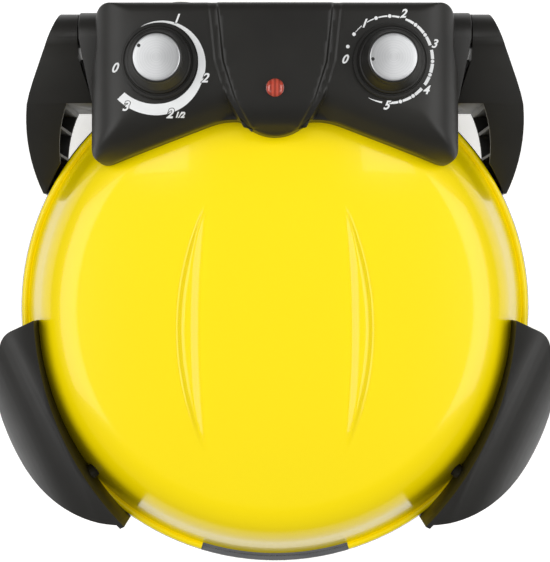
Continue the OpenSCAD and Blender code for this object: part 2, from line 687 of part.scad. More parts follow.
// The handle's slope from the fin down to the outer edge, as (Y, Z), moved inwards by i
module wing_slope(i) {
    a = [wing_reach, fin_top_z - wing_drop];
    b = [-fin_in + 1.5, fin_top_z];
    n = [wing_drop, wing_reach + fin_in] / norm([wing_drop, wing_reach + fin_in]);
    polygon(concat([[-80, 0], [wing_reach - i, 0]], moved(arc_between(a, b, 6, 10), -i * n),
                   [[-80, fin_top_z - i]]));
}
module lid_handle_shape(i, low) intersection() {
    translate([0, 0, low]) linear_extrude(big) handle_plan(i);
    along_x(-big, big) wing_slope(i);
}
module fin() translate([0, 0, fin_low_z]) linear_extrude(fin_rise - 1) intersection() {
    translate([fin_mid - fin_half, -80]) square([2 * fin_half - 11.6, 160]);
    translate([fin_mid, -fin_in - fin_r]) difference() {
        circle(r = fin_r + wall);
        circle(r = fin_r);
    }
}
handle_rib_low = parting_z + 31;
module lid_handle_right_solid() difference() {
    union() {
        difference() {
            at_handle() union() {
                lid_handle_shape(0, wing_low_z);
                fin();
            }
            difference() {
                at_handle() lid_handle_shape(wall, 0);
                // Ribs, high enough to leave the finger room free
                at_handle() for (x = [-44, -8, 28])
                    translate([x, -40, handle_rib_low]) cube([rib_t, 80, 80]);
            }
        }
        for (a = handle_screw_turns) at_flank(-handle_turn + a, handle_screw_z)
            translate([0, 0, -2]) cylinder(r = boss_r, h = 11);
        // Web from each boss up to the slope
        for (a = handle_screw_turns) intersection() {
            rotate([0, 0, -handle_turn + a])
                translate([flank_r(handle_screw_z) - 4, -rib_t / 2, handle_screw_z])
                cube([15, rib_t, 50]);
            at_handle() lid_handle_shape(1, 0);
        }
    }
    dome_solid(air);
    translate([0, 0, parting_z - 10]) cylinder(r = rim_r + air, h = 10 + 2 * bead_r + air);
    for (a = handle_screw_turns) at_flank(-handle_turn + a, handle_screw_z)
        translate([0, 0, -1]) cylinder(r = screw_r + seat_fit, h = 9);
}
module lid_handle_right() color(black) at_oven() lid_handle_right_solid();
module lid_handle_left() color(black) at_oven() mirror([1, 0, 0]) lid_handle_right_solid();
module lid_handle_screws() color(steel) at_oven() both_sides()
    for (a = handle_screw_turns) at_flank(-handle_turn + a, handle_screw_z)
        translate([0, 0, -sheet_t - head_ease - 2]) {
            cylinder(r = screw_head_r, h = 2);
            cylinder(r = screw_r, h = 2 + sheet_t + 7);
        }

// ---------------------------------------------------------------- control housing

corner_r = 8;
lobe_r = 28;
lobe_y = -39.5;
front_corner = [housing_half_w - 9.5, -76];
front_corner_r = 9;
hill_c = [26.6, -97.3];
hill_r = 40;
front_slant = 21.3;
slope_y = -51;
rear_round = 6;

// The right half of the housing seen from above, from the hinge axis, made smaller by i
function housing_half(i) = concat(
    arc_pts([rear_w - corner_r, housing_back - corner_r], corner_r - i, 90, 0, 6),
    [[rear_w - i, -14], [housing_half_w - i, -29], [housing_half_w - i, -75]],
    arc_pts(front_corner, front_corner_r - i, -20, -90 - front_slant, 6),
    arc_pts(hill_c, hill_r + i, 90 - front_slant, 90, 4));
module housing_plan(i) {
    polygon(concat(housing_half(i), mirrored(housing_half(i))));
    translate([0, lobe_y]) circle(r = lobe_r - i);
}
// Where the slanted front line of the right half touches the hill's arc
front_touch = hill_c + hill_r * [sin(front_slant), cos(front_slant)];
// Below the rounded front edge of both halves; the edge follows the slanted front lines
module brow(i) both_sides() intersection() {
    translate([0, -big / 2, 0]) cube([big, big, big]);
    translate(front_touch) rotate([0, 0, -front_slant]) along_x(-big, big) polygon(concat(
        [[big, 0], [big, panel_z - i]],
        arc_pts([brow_r, panel_z - brow_r], brow_r - i, 90, 180, 8), [[i, 0]]));
}
// The middle of the panel runs level between the brows and rolls down at the lobe
module middle(i) intersection() {
    linear_extrude(big) shield_plan(i);
    along_x(-big, big) polygon(concat(
        [[big, 0], [big, panel_z - i]],
        arc_pts([lobe_y - lobe_r + brow_r, panel_z - brow_r], brow_r - i, 90, 180, 8),
        [[lobe_y - lobe_r + i, 0]]));
}
// The housing's outer form made smaller by i, drawn from the hinge axis in plan
module housing_form(i) translate([0, hinge_y, 0]) intersection() {
    linear_extrude(big) housing_plan(i);
    along_x(-big, big) polygon(concat(
        [[housing_back - i, 0]],
        arc_pts([housing_back - max(rear_round, i + 1), panel_z - max(rear_round, i + 1)],
            max(rear_round, i + 1) - i, 0, 90, 4),
        arc_pts([slope_y, panel_z - front_round], front_round - i, 90, 180, 10),
        [[slope_y - front_round + i, 0]]));
    along_y(-big, big) polygon(concat(
        [[housing_half_w - i, 0]],
        arc_pts([housing_half_w - side_round, panel_z - side_round], side_round - i, 0, 90, 6),
        arc_pts([side_round - housing_half_w, panel_z - side_round], side_round - i, 90, 180, 6),
        [[i - housing_half_w, 0]]));
    union() {
        brow(i);
        middle(i);
    }
}
// Everything that lies below the housing: the dome and the flat at the hinge, grown by d
module below_housing(d) {
    dome_solid(air + d);
    cylinder(r = big, h = tray_z + d);
}

shield_in = 5.2;
shield_rise = 1;
channel_d = 0.8;
// The raised middle of the panel, seen from above, made smaller by i
module shield_plan(i) intersection() {
    right = [[42 - i, 20], [37.6 - i, -22], [30.4 - i, -45], [20 - i * 0.7, -63]];
    union() {
        polygon(concat(right, mirrored(right)));
        translate([0, lobe_y]) circle(r = lobe_r - i * 0.7);
    }
    translate([-60, -big / 2]) square([120, big]);
}

knob_y = hinge_y - knob_front;
bush_hole_r = 5;
bush_t = 2;
fairing_front = -44;
lamp_y = hinge_y - 39;
lamp_seat_r = lamp_r - 0.8;
gland_x = -60;
gland_z = tray_z + 18;
gland_body_r = 6.5;
housing_screw_spots = [[104, -31], [30, 4]];
module at_housing_screws() both_sides() for (p = housing_screw_spots)
    translate([p[0], hinge_y + p[1], 0]) children();

// The side collar that takes the hinge pin, with the fairing in front of it
module collar() {
    intersection() {
        translate([0, hinge_y, 0]) linear_extrude(big) polygon([
            [collar_in, 20], [collar_x, 20], [collar_x, -9.3],
            [collar_x - 7.9, fairing_front], [collar_in, fairing_front]]);
        at_hinge() along_x(0, big) union() {
            circle(r = collar_r);
            polygon([[0, collar_r], [fairing_front, 6], [fairing_front, tray_z - hinge_z],
                     [0, tray_z - hinge_z]]);
        }
    }
}
module control_housing() color(black) at_oven() difference() {
    union() {
        difference() {
            union() {
                housing_form(0);
                intersection() {
                    housing_form(-shield_rise);
                    translate([0, hinge_y, 0]) linear_extrude(big) shield_plan(shield_in);
                }
            }
            // Channel round the raised middle
            difference() {
                translate([0, hinge_y, panel_z - front_round]) linear_extrude(big) difference() {
                    shield_plan(0);
                    shield_plan(shield_in);
                }
                housing_form(channel_d);
            }
            housing_form(wall);
        }
        collar();
        mirror([1, 0, 0]) collar();
        intersection() {
            at_housing_screws() cylinder(r = boss_r, h = big);
            housing_form(1);
            translate([0, 0, tray_z + tray_t + seat_fit]) cylinder(r = big, h = big);
        }
    }
    // Open below, along the dome and the flat at the hinge
    difference() {
        below_housing(0);
        at_hinge() for (s = [-1, 1])
            translate([s > 0 ? collar_in : -collar_x, 0, 0]) rotate([0, 90, 0])
                cylinder(r = collar_r, h = collar_x - collar_in);
    }
    at_hinge() translate([-big, 0, 0]) rotate([0, 90, 0])
        cylinder(r = pin_r + bush_t + seat_fit, h = 2 * big);
    both_sides() translate([knob_x, knob_y, panel_z - 10]) cylinder(r = bush_hole_r + hole_ease, h = 20);
    translate([0, lamp_y, panel_z - 10]) cylinder(r = lamp_seat_r + hole_ease, h = 20);
    translate([gland_x, hinge_y, gland_z]) rotate([-90, 0, 0]) cylinder(r = gland_body_r + 0.1, h = 40);
    at_housing_screws() translate([0, 0, tray_z]) cylinder(r = screw_r + seat_fit, h = 14);
}

tray_boss_h = 7;
module control_tray() color(black) at_oven() difference() {
    union() {
        intersection() {
            housing_form(wall + air);
            difference() {
                below_housing(tray_t);
                below_housing(0);
            }
        }
        // Bosses for the screws that come up through the dome
        intersection() {
            both_sides() translate([dome_screw_x, hinge_y - dome_screw_front, 0])
                cylinder(r = boss_r, h = big);
            difference() {
                dome_solid(tray_boss_h);
                dome_solid(air);
            }
        }
    }
    // Room for the collars and their fairings
    both_sides() translate([collar_in - air, hinge_y + fairing_front - air, tray_z - 1])
        cube([40, 80, 20]);
    both_sides() translate([dome_screw_x, hinge_y - dome_screw_front, dome_top_z - cut_down])
        cylinder(r = screw_r + seat_fit, h = cut_long);
    both_sides() translate([leg_x, lid_leg_y, dome_top_z - cut_down]) cylinder(r = leg_hole_r, h = cut_long);
    at_housing_screws() translate([0, 0, tray_z - 1]) cylinder(r = screw_r + hole_ease, h = 5);
}
module housing_screws() color(steel) at_oven() at_housing_screws()
    translate([0, 0, tray_z - seat_fit - 1.4]) {
        cylinder(r = screw_head_r - 0.6, h = 1.4);
        cylinder(r = screw_r, h = 14);
    }
// The screws stand upright through the dome's slope, so the heads lie a little below it
module dome_screws() color(steel) at_oven() both_sides()
    translate([dome_screw_x, hinge_y - dome_screw_front, dome_screw_z]) {
        translate([0, 0, -2]) cylinder(r = screw_head_r - 0.6, h = 2);
        translate([0, 0, -2]) cylinder(r = screw_r, h = 10);
    }
dome_screw_r = norm([dome_screw_x, hinge_y - dome_screw_front]) + screw_head_r;
dome_screw_z = dome_screw_r > shoulder_c[0]
    ? shoulder_c[1] + sqrt(pow(shoulder_r - sheet_t, 2) - pow(dome_screw_r - shoulder_c[0], 2)) - seat_fit
    : crown_c[1] + sqrt(pow(crown_r - sheet_t, 2) - pow(dome_screw_r, 2)) - seat_fit;

module hinge_bushes() color(steel) at_oven() both_sides()
    translate([collar_in + bush_sunk, 0, 0]) at_hinge() rotate([0, 90, 0]) difference() {
        cylinder(r = pin_r + bush_t, h = collar_x - collar_in - 2 * bush_sunk);
        translate([0, 0, -1]) cylinder(r = pin_r + run_fit, h = collar_x - collar_in + 2);
    }

module lamp_lens() color("#b5443a") at_oven() translate([0, lamp_y, panel_z + shield_rise]) {
    intersection() {
        translate([0, 0, 3.4 - 8]) sphere(r = 8);
        translate([0, 0, 1.05]) cylinder(r = lamp_r, h = 8);
    }
    translate([0, 0, 0.05]) cylinder(r = lamp_r, h = 1);
}
module lamp_body() color("white") at_oven() translate([0, lamp_y, 0]) {
    translate([0, 0, panel_z - 20]) cylinder(r = lamp_seat_r, h = 20 + shield_rise);
    for (s = [-1, 1]) translate([s * 2.2, 0, panel_z - 26]) cylinder(r = 0.8, h = 7);
}

under_panel_z = panel_z - wall - seat_fit;
// A round control under the panel: its case, its bushing through the panel and two terminals
module control_case(r, h, top = 3.2) difference() {
    union() {
        translate([0, 0, under_panel_z - h]) cylinder(r = r, h = h);
        cylinder_to = panel_z + top;
        translate([0, 0, under_panel_z - 1]) cylinder(r = bush_hole_r, h = cylinder_to - under_panel_z + 1);
        for (s = [-1, 1]) translate([s * 8 - 3, -0.4, under_panel_z - h - 7]) cube([6, 0.8, 8]);
    }
    translate([0, 0, under_panel_z - h + 3]) cylinder(r = shaft_r + run_fit, h = big);
}
module panel_nut() difference() {
    translate([0, 0, panel_z + seat_fit]) cylinder(r = 8, h = 2.4, $fn = 6);
    translate([0, 0, panel_z - 1]) cylinder(r = bush_hole_r + seat_fit, h = 5);
}
thermostat_h = 17;
timer_h = 24;
// Widest case that still lies under the flat part of the panel
under_flat_r = housing_half_w - side_round - knob_x;
module at_temp() at_oven() translate([-knob_x, knob_y, 0]) children();
module at_timer() at_oven() translate([knob_x, knob_y, 0]) children();
module thermostat() color(steel) at_temp() control_case(min(17, under_flat_r), thermostat_h);
module thermostat_nut() color(steel) at_temp() panel_nut();
module timer() color(steel) at_timer() control_case(min(18, under_flat_r), timer_h);
module timer_nut() color(steel) at_timer() panel_nut();
module timer_bell() color(bright) at_timer() translate([0, 0, under_panel_z - timer_h - 0.1]) difference() {
    translate([0, 0, -6]) cylinder(r = 4.4, h = 6);
    translate([0, 0, -7]) cylinder(r = 3.4, h = 6);
}

block_l = 36;
block_y = hinge_y - 9;
module terminal_block() color("white") at_oven()
    translate([-block_l / 2, block_y - 7, tray_z + tray_t + seat_fit]) difference() {
        cube([block_l, 14, 12]);
        for (i = [0:3]) translate([4.5 + 9 * i, 7, 4]) cylinder(r = 2.2, h = 10);
    }

module lid_wiring() color("firebrick") at_oven() {
    z = tray_z + tray_t + wire_r + 4;
    for (s = [-1, 1]) bent_bar([
        [s * (block_l / 2 + 0.3), block_y, z], [s * 50, block_y + 3, z],
        [s * (knob_x - 20), knob_y + 17, z + 3]], 1.5);
}

module cord_gland() color(black) at_oven() translate([gland_x, hinge_y, gland_z]) rotate([-90, 0, 0])
    difference() {
        union() {
            translate([0, 0, housing_back + seat_fit]) cylinder(r = 8.5, h = gland_proud - seat_fit);
            translate([0, 0, housing_back - 11]) cylinder(r = gland_body_r, h = 12);
        }
        translate([0, 0, housing_back - 12]) cylinder(r = 3.8, h = 30);
    }

// ---------------------------------------------------------------- knobs

knob_low = panel_z + shield_rise;
knob_top = panel_z + knob_h;
cap_t = 2;
shaft_top = knob_top - cap_t - 2;
flat_in = 0.7;
// Shaft section with its flat, grown by d
module shaft_section(d) difference() {
    circle(r = shaft_r + d);
    translate([shaft_r - flat_in + d, -10]) square(20);
}
module knob_grip() difference() {
    rotate_extrude() polygon([
        [0, knob_low], [skirt_r, knob_low], [skirt_r, knob_low + 2],
        [skirt_r - 1, knob_low + 3], [skirt_r - 3, knob_low + 3.6], [skirt_r - 3.2, knob_low + 5.4],
        [skirt_r - 4.4, knob_low + 6.2], [cap_r + 1.9, knob_top - 5], [cap_r + 1.3, knob_top - 1.2],
        [cap_r + 0.5, knob_top - 0.4], [0, knob_top - 0.4]]);
    translate([0, 0, knob_top - cap_t - 0.05]) cylinder(r = cap_r + seat_fit, h = 5);
    // Room for the nut, then the seat of the shaft
    translate([0, 0, panel_z - 1]) cylinder(r = 10.5, h = 5.6);
    translate([0, 0, knob_low - 1]) linear_extrude(shaft_top + seat_fit - knob_low + 1)
        shaft_section(seat_fit);
}
module knob_cap() difference() {
    rotate_extrude() polygon([
        [0, knob_top - cap_t], [cap_r, knob_top - cap_t], [cap_r, knob_top - 0.7],
        [cap_r - 0.7, knob_top], [0, knob_top]]);
    translate([cap_r - 1.9, 0, knob_top - 0.4]) cylinder(r = 1.1, h = 1, $fn = 24);
}
module knob_shaft(case_h) translate([0, 0, under_panel_z - case_h + 3.2]) {
    length = shaft_top - (under_panel_z - case_h + 3.2);
    linear_extrude(length) shaft_section(0);
}
module temp_knob_grip() color(black) at_temp() rotate([0, 0, temp_point]) knob_grip();
module temp_knob_cap() color(bright) at_temp() rotate([0, 0, temp_point]) knob_cap();
module temp_shaft() color(steel) at_temp() rotate([0, 0, temp_point]) knob_shaft(thermostat_h);
module timer_knob_grip() color(black) at_timer() rotate([0, 0, timer_point]) knob_grip();
module timer_knob_cap() color(bright) at_timer() rotate([0, 0, timer_point]) knob_cap();
module timer_shaft() color(steel) at_timer() rotate([0, 0, timer_point]) knob_shaft(timer_h);

base_pan();
lower_reflector();
refractory_stone();
stone_tabs();
lower_element();
lower_element_clips();
lower_element_insulators();
base_wiring();
base_handle_left();
base_handle_right();
base_screws();
feet();
foot_screws();
hinge_arm_left();
hinge_arm_right();
hinge_pin_left();
hinge_pin_right();
lid_dome();
upper_reflector();
vent_strip();
upper_element();
upper_element_clips();
upper_element_insulators();
lid_handle_left();
lid_handle_right();
lid_handle_screws();
control_housing();
control_tray();
housing_screws();
dome_screws();
hinge_bushes();
lamp_lens();
lamp_body();
thermostat();
thermostat_nut();
timer();
timer_nut();
timer_bell();
terminal_block();
lid_wiring();
cord_gland();
temp_knob_grip();
temp_knob_cap();
temp_shaft();
timer_knob_grip();
timer_knob_cap();
timer_shaft();
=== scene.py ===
"""Looks of the electric pizza maker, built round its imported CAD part.

Every size is in millimetres in the oven's own axes: the dome's middle is at X = Y = 0, the table
at Z = 0 and the front towards -Y. `place` turns such points into the frame's metres.
"""

import logging
import math
from dataclasses import dataclass, field
from enum import Enum

import bmesh
import bpy
import numpy as np
from mathutils import Matrix, Vector
from mathutils.geometry import delaunay_2d_cdt


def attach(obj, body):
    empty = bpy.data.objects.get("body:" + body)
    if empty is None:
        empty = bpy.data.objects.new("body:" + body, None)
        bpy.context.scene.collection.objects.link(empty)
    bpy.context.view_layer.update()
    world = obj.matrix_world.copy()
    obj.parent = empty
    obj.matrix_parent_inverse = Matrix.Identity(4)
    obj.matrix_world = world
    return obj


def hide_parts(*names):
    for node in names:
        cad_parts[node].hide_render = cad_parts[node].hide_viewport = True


log = logging.getLogger("pizza_maker")

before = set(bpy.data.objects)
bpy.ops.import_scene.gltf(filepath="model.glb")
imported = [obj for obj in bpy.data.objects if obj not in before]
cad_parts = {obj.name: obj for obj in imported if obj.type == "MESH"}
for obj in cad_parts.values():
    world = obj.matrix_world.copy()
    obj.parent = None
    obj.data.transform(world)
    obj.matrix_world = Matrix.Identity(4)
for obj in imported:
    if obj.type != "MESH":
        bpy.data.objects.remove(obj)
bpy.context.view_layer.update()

MM = 0.001
Line = list[tuple[float, float]]
Points = list[tuple[float, float, float]]
Faces = list[tuple[int, ...]]


@dataclass(frozen=True)
class Oven:
    """Sizes that several pieces share, as in the part's source."""

    rim_r: float = 171.3
    bead_r: float = 2.5
    parting_z: float = 63.0
    sheet_t: float = 1.2
    dome_top_z: float = 125.0
    crown_r: float = 837.0
    shoulder_r: float = 36.0
    flank_lean: float = 23.2
    hinge_y: float = 177.0
    hinge_z: float = 105.0
    panel_z: float = 147.0
    tray_z: float = 100.0
    oven_y: float = -11.5
    knob_x: float = 72.5
    knob_y: float = 154.5
    temp_point: float = 147.0
    timer_point: float = 186.0

    @property
    def flank_foot(self) -> tuple[float, float]:
        """Lower end of the dome's straight flank, as radius and height."""
        return self.rim_r - 1.7 * self.bead_r, self.parting_z + self.bead_r

    @property
    def shoulder(self) -> tuple[float, float, float]:
        """The round shoulder between crown and flank.

        Returns:
            Radius and height of its centre, and the angle at which it meets the crown.
        """
        lean = math.radians(self.flank_lean)
        n = Vector((math.cos(lean), math.sin(lean)))
        u = Vector((-math.sin(lean), math.cos(lean)))
        crown_c = Vector((0, self.dome_top_z - self.crown_r))
        base = Vector(self.flank_foot) - self.shoulder_r * n - crown_c
        up = -base.dot(u) + math.sqrt(base.dot(u) ** 2 - base.dot(base)
                                      + (self.crown_r - self.shoulder_r) ** 2)
        c = crown_c + base + up * u
        return c.x, c.y, math.atan2(c.y - crown_c.y, c.x)

    def dome_z(self, r: float, d: float = 0.0) -> float:
        """Height of the dome's outer face at a radius.

        Args:
            r: Distance from the dome's middle.
            d: How far the face is moved outwards.

        Returns:
            The height above the table.
        """
        cx, cz, turn = self.shoulder
        big = self.crown_r + d
        if r <= big * math.cos(turn):
            return self.dome_top_z - self.crown_r + math.sqrt(big * big - r * r)
        lean = math.radians(self.flank_lean)
        small = self.shoulder_r + d
        if r <= cx + small * math.cos(lean):
            return cz + math.sqrt(max(small * small - (r - cx) ** 2, 0))
        foot_r = self.flank_foot[0] + d * math.cos(lean)
        foot_z = self.flank_foot[1] + d * math.sin(lean)
        return foot_z + (foot_r - r) / math.tan(lean)


OVEN = Oven()


# ------------------------------------------------------------------ small helpers


def place(points: Points) -> Points:
    """Turns points in the oven's millimetres into the frame's metres."""
    return [(x * MM, (y + OVEN.oven_y) * MM, z * MM) for x, y, z in points]


def linear(code: str) -> tuple[float, float, float, float]:
    """Turns an sRGB hex colour into linear RGBA.

    Args:
        code: The colour, as a hash sign and six digits.

    Returns:
        Red, green, blue and alpha.
    """
    parts = [int(code[i:i + 2], 16) / 255 for i in (1, 3, 5)]
    r, g, b = (c / 12.92 if c <= 0.04045 else ((c + 0.055) / 1.055) ** 2.4 for c in parts)
    return r, g, b, 1.0


def add(tree: bpy.types.NodeTree, kind: str, inputs: dict | None = None,
        stops: tuple[tuple[float, str], ...] = (), **settings: object) -> bpy.types.Node:
    """Adds a node with its settings and links.

    Args:
        tree: The node tree.
        kind: The node's type name.
        inputs: Socket name or number to a value, or to an output socket that is linked to it.
        stops: Positions on a colour ramp, each with its hex colour.
        **settings: Properties of the node.

    Returns:
        The new node.
    """
    made = tree.nodes.new(kind)
    for name, value in settings.items():
        setattr(made, name, value)
    for key, value in (inputs or {}).items():
        socket = made.inputs[key]
        if isinstance(value, bpy.types.NodeSocket):
            tree.links.new(value, socket)
        else:
            socket.default_value = value
    for k, (position, code) in enumerate(stops):
        made.color_ramp.elements[k].position = position
        made.color_ramp.elements[k].color = linear(code)
    return made


def put(name: str, data: bpy.types.ID) -> bpy.types.Object:
    """Makes an object and links it to the scene.

    Args:
        name: The object's name.
        data: Its mesh, curve, light or camera.

    Returns:
        The object, at the origin.
    """
    made = bpy.data.objects.new(name, data)
    bpy.context.scene.collection.objects.link(made)
    return made


def clean_mesh(mesh: bpy.types.Mesh, merge: float = 1e-6, outward: bool = True) -> None:
    """Merges doubles and drops edges and faces of no size.

    Args:
        mesh: The mesh, changed in place.
        merge: Points closer than this become one, in metres.
        outward: Whether to turn the faces outwards.
    """
    bm = bmesh.new()
    bm.from_mesh(mesh)
    bmesh.ops.remove_doubles(bm, verts=bm.verts, dist=merge)
    bmesh.ops.dissolve_degenerate(bm, edges=bm.edges, dist=merge)
    if outward:
        bmesh.ops.recalc_face_normals(bm, faces=bm.faces)
    bm.to_mesh(mesh)
    bm.free()


def soften(mesh: bpy.types.Mesh, angle: float = 32.0) -> None:
    """Shades a mesh smooth, with edges above the angle left sharp."""
    mesh.shade_smooth()
    mesh.set_sharp_from_angle(angle=math.radians(angle))


def new_piece(name: str, points: Points, faces: Faces, material: bpy.types.Material,
              angle: float = 32.0, outward: bool = True) -> bpy.types.Object:
    """Makes a mesh object from points in the oven's millimetres.

    Args:
        name: The piece's name.
        points: The corners.
        faces: The faces, as tuples of corner numbers.
        material: The finish.
        angle: Edges sharper than this stay sharp.
        outward: Whether to turn the faces outwards.

    Returns:
        The linked object, at the origin.
    """
    mesh = bpy.data.meshes.new(name)
    mesh.from_pydata(place(points), [], faces)
    clean_mesh(mesh, outward=outward)
    soften(mesh, angle)
    mesh.materials.append(material)
    return put(name, mesh)


def settle(piece: bpy.types.Object, angle: float) -> bpy.types.Object:
    """Turns an object with live modifiers into a plain mesh of the same name.

    Args:
        piece: The object.
        angle: Edges sharper than this stay sharp.

    Returns:
        The same object, without modifiers.
    """
    graph = bpy.context.evaluated_depsgraph_get()
    mesh = bpy.data.meshes.new_from_object(piece.evaluated_get(graph))
    piece.modifiers.clear()
    old = piece.data
    piece.data = mesh
    mesh.name = piece.name
    bpy.data.meshes.remove(old)
    soften(mesh, angle)
    return piece


def join(name: str, pieces: list[bpy.types.Object]) -> bpy.types.Object:
    """Joins mesh objects that sit at the origin into one.

    Args:
        name: Name of the joined piece.
        pieces: The objects, which are removed.

    Returns:
        The joined object, with each face's own finish.
    """
    bm = bmesh.new()
    finishes: list[bpy.types.Material] = []
    for piece in pieces:
        start = len(bm.faces)
        bm.from_mesh(piece.data)
        bm.faces.ensure_lookup_table()
        slots = []
        for m in piece.data.materials:
            if m not in finishes:
                finishes.append(m)
            slots.append(finishes.index(m))
        for f in bm.faces[start:]:
            f.material_index = slots[f.material_index]
    mesh = bpy.data.meshes.new(name)
    bm.to_mesh(mesh)
    bm.free()
    for m in finishes:
        mesh.materials.append(m)
    for piece in pieces:
        old = piece.data
        bpy.data.objects.remove(piece)
        bpy.data.meshes.remove(old)
    return put(name, mesh)


def arc(cx: float, cy: float, r: float, a0: float, a1: float, n: int) -> Line:
    """Points on a circle's arc from angle a0 to a1, in degrees."""
    turns = (math.radians(a0 + (a1 - a0) * i / n) for i in range(n + 1))
    return [(cx + r * math.cos(t), cy + r * math.sin(t)) for t in turns]


def rounded(path: Line, radii: dict[int, float], steps: int = 5) -> Line:
    """Rounds the given corners of an open or closed line.

    Args:
        path: The line's corners.
        radii: Corner number to its radius.
        steps: Points on each rounding.

    Returns:
        The line with arcs in place of those corners.
    """
    out: Line = []
    for i, p in enumerate(path):
        r = radii.get(i)
        if not r:
            out.append(p)
            continue
        here = Vector(p)
        a = (Vector(path[i - 1]) - here).normalized()
        b = (Vector(path[(i + 1) % len(path)]) - here).normalized()
        half = math.acos(max(-1, min(1, a.dot(b)))) / 2
        cut = r / math.tan(half)
        c = here + (a + b).normalized() * (r / math.sin(half))
        p0, p1 = here + a * cut - c, here + b * cut - c
        t0, t1 = math.atan2(p0.y, p0.x), math.atan2(p1.y, p1.x)
        sweep = (t1 - t0 + math.pi) % (2 * math.pi) - math.pi
        out += [(c.x + r * math.cos(t0 + sweep * k / steps),
                 c.y + r * math.sin(t0 + sweep * k / steps)) for k in range(steps + 1)]
    return out


def lathe(profile: Line, segments: int, centre: tuple[float, float] = (0, 0),
          start: float = 0.0, sweep: float = 360.0, closed: bool = True) -> tuple[Points, Faces]:
    """Turns a profile of (radius, height) round an upright axis.

    Args:
        profile: The outline, as a loop if it is closed.
        segments: Steps round the axis.
        centre: Where the axis stands.
        start: First angle in degrees.
        sweep: How far it is turned.
        closed: Whether the profile's end joins its start.

    Returns:
        Points and faces. A part turn gets end faces if the profile is closed.
    """
    whole = sweep >= 360
    turns = segments if whole else segments + 1
    points: Points = []
    for k in range(turns):
        t = math.radians(start + sweep * k / segments)
        points += [(centre[0] + r * math.cos(t), centre[1] + r * math.sin(t), z)
                   for r, z in profile]
    n = len(profile)
    span = n if closed else n - 1
    faces: Faces = []
    for k in range(segments):
        a, b = k * n, ((k + 1) % turns) * n
        for i in range(span):
            j = (i + 1) % n
            faces.append((a + i, b + i, b + j, a + j))
    if closed and not whole:
        faces.append(tuple(range(n)))
        faces.append(tuple(reversed(range(segments * n, segments * n + n))))
    return points, faces


def merge_parts(*parts: tuple[Points, Faces]) -> tuple[Points, Faces]:
    """Puts several sets of points and faces into one.

    Args:
        *parts: The sets.

    Returns:
        All points, and all faces with their corners renumbered.
    """
    points: Points = []
    faces: Faces = []
    for p, f in parts:
        base = len(points)
        points += p
        faces += [tuple(i + base for i in face) for face in f]
    return points, faces


# ------------------------------------------------------------------ finishes


@dataclass(frozen=True)
class Surface:
    """A material's node tree, its shader and the object coordinates that its pattern reads."""

    tree: bpy.types.NodeTree
    shader: bpy.types.Node
    coords: bpy.types.NodeSocket

    def feed(self, socket: str, source: bpy.types.NodeSocket) -> None:
        """Links a value to one of the shader's sockets."""
        self.tree.links.new(source, self.shader.inputs[socket])

    def cloud(self, size_mm: float, detail: float, dark: str, light: str, low: float = 0.3,
              high: float = 0.7,
              vector: bpy.types.NodeSocket | None = None) -> bpy.types.NodeSocket:
        """Makes a colour that drifts between two tones in clouds of a real size.

        Args:
            size_mm: Size of the clouds.
            detail: How far they break up.
            dark: Hex colour below the low mark.
            light: Hex colour above the high mark.
            low: Value of the noise at the low mark.
            high: Value of the noise at the high mark.
            vector: Where the noise is read, if not at the object's own coordinates.

        Returns:
            The colour.
        """
        noise = add(self.tree, "ShaderNodeTexNoise", {
            "Vector": vector or self.coords, "Scale": 1 / (size_mm * MM), "Detail": detail})
        return add(self.tree, "ShaderNodeValToRGB", {"Fac": noise.outputs["Fac"]},
                   stops=((low, dark), (high, light))).outputs["Color"]

    def wear(self, size_mm: float, low: float, high: float) -> None:
        """Makes the gloss uneven in patches of a real size.

        Args:
            size_mm: Size of the patches.
            low: The least roughness.
            high: The greatest roughness.
        """
        noise = add(self.tree, "ShaderNodeTexNoise", {
            "Vector": self.coords, "Scale": 1 / (size_mm * MM), "Detail": 2.0})
        rough = add(self.tree, "ShaderNodeMapRange", {"Value": noise.outputs["Fac"],
                                                      "To Min": low, "To Max": high})
        self.feed("Roughness", rough.outputs["Result"])

    def skin(self, size_mm: float, detail: float, depth_mm: float, strength: float) -> None:
        """Gives the surface a grain of a real size.

        Args:
            size_mm: Size of the grain.
            detail: How far it breaks up.
            depth_mm: Its depth.
            strength: How much of it the light shows.
        """
        noise = add(self.tree, "ShaderNodeTexNoise", {
            "Vector": self.coords, "Scale": 1 / (size_mm * MM), "Detail": detail})
        self.emboss(noise.outputs["Fac"], depth_mm, strength)

    def emboss(self, height: bpy.types.NodeSocket, depth_mm: float, strength: float) -> None:
        """Lets a height turn the shader's normal, so that the light shows it.

        Args:
            height: The height, from 0 to 1.
            depth_mm: What a height of 1 stands for.
            strength: How much of it the light shows.
        """
        made = add(self.tree, "ShaderNodeBump", {"Height": height, "Distance": depth_mm * MM,
                                                 "Strength": strength})
        self.feed("Normal", made.outputs["Normal"])


@dataclass(frozen=True)
class Finish:
    """A surface finish with one colour and no pattern of its own."""

    name: str
    colour: str
    roughness: float
    metallic: float = 0.0
    ior: float = 1.5
    specular: float = 0.5
    coat: float = 0.0
    coat_roughness: float = 0.05

    def build(self) -> bpy.types.Material:
        """Makes the material.

        Returns:
            The material, with its constants on the shader and its pattern linked to it.
        """
        material = bpy.data.materials.new(self.name)
        material.use_nodes = True
        tree = material.node_tree
        shader = tree.nodes["Principled BSDF"]
        values = {"Base Color": linear(self.colour), "Roughness": self.roughness,
                  "Metallic": self.metallic, "Specular IOR Level": self.specular,
                  "Coat Weight": self.coat, "Coat Roughness": self.coat_roughness}
        if not self.metallic:
            values["IOR"] = self.ior
        for socket, value in values.items():
            shader.inputs[socket].default_value = value
        coords = add(tree, "ShaderNodeTexCoord").outputs["Object"]
        self.pattern(Surface(tree, shader, coords))
        return material

    def pattern(self, on: Surface) -> None:
        """Adds what varies over the surface."""


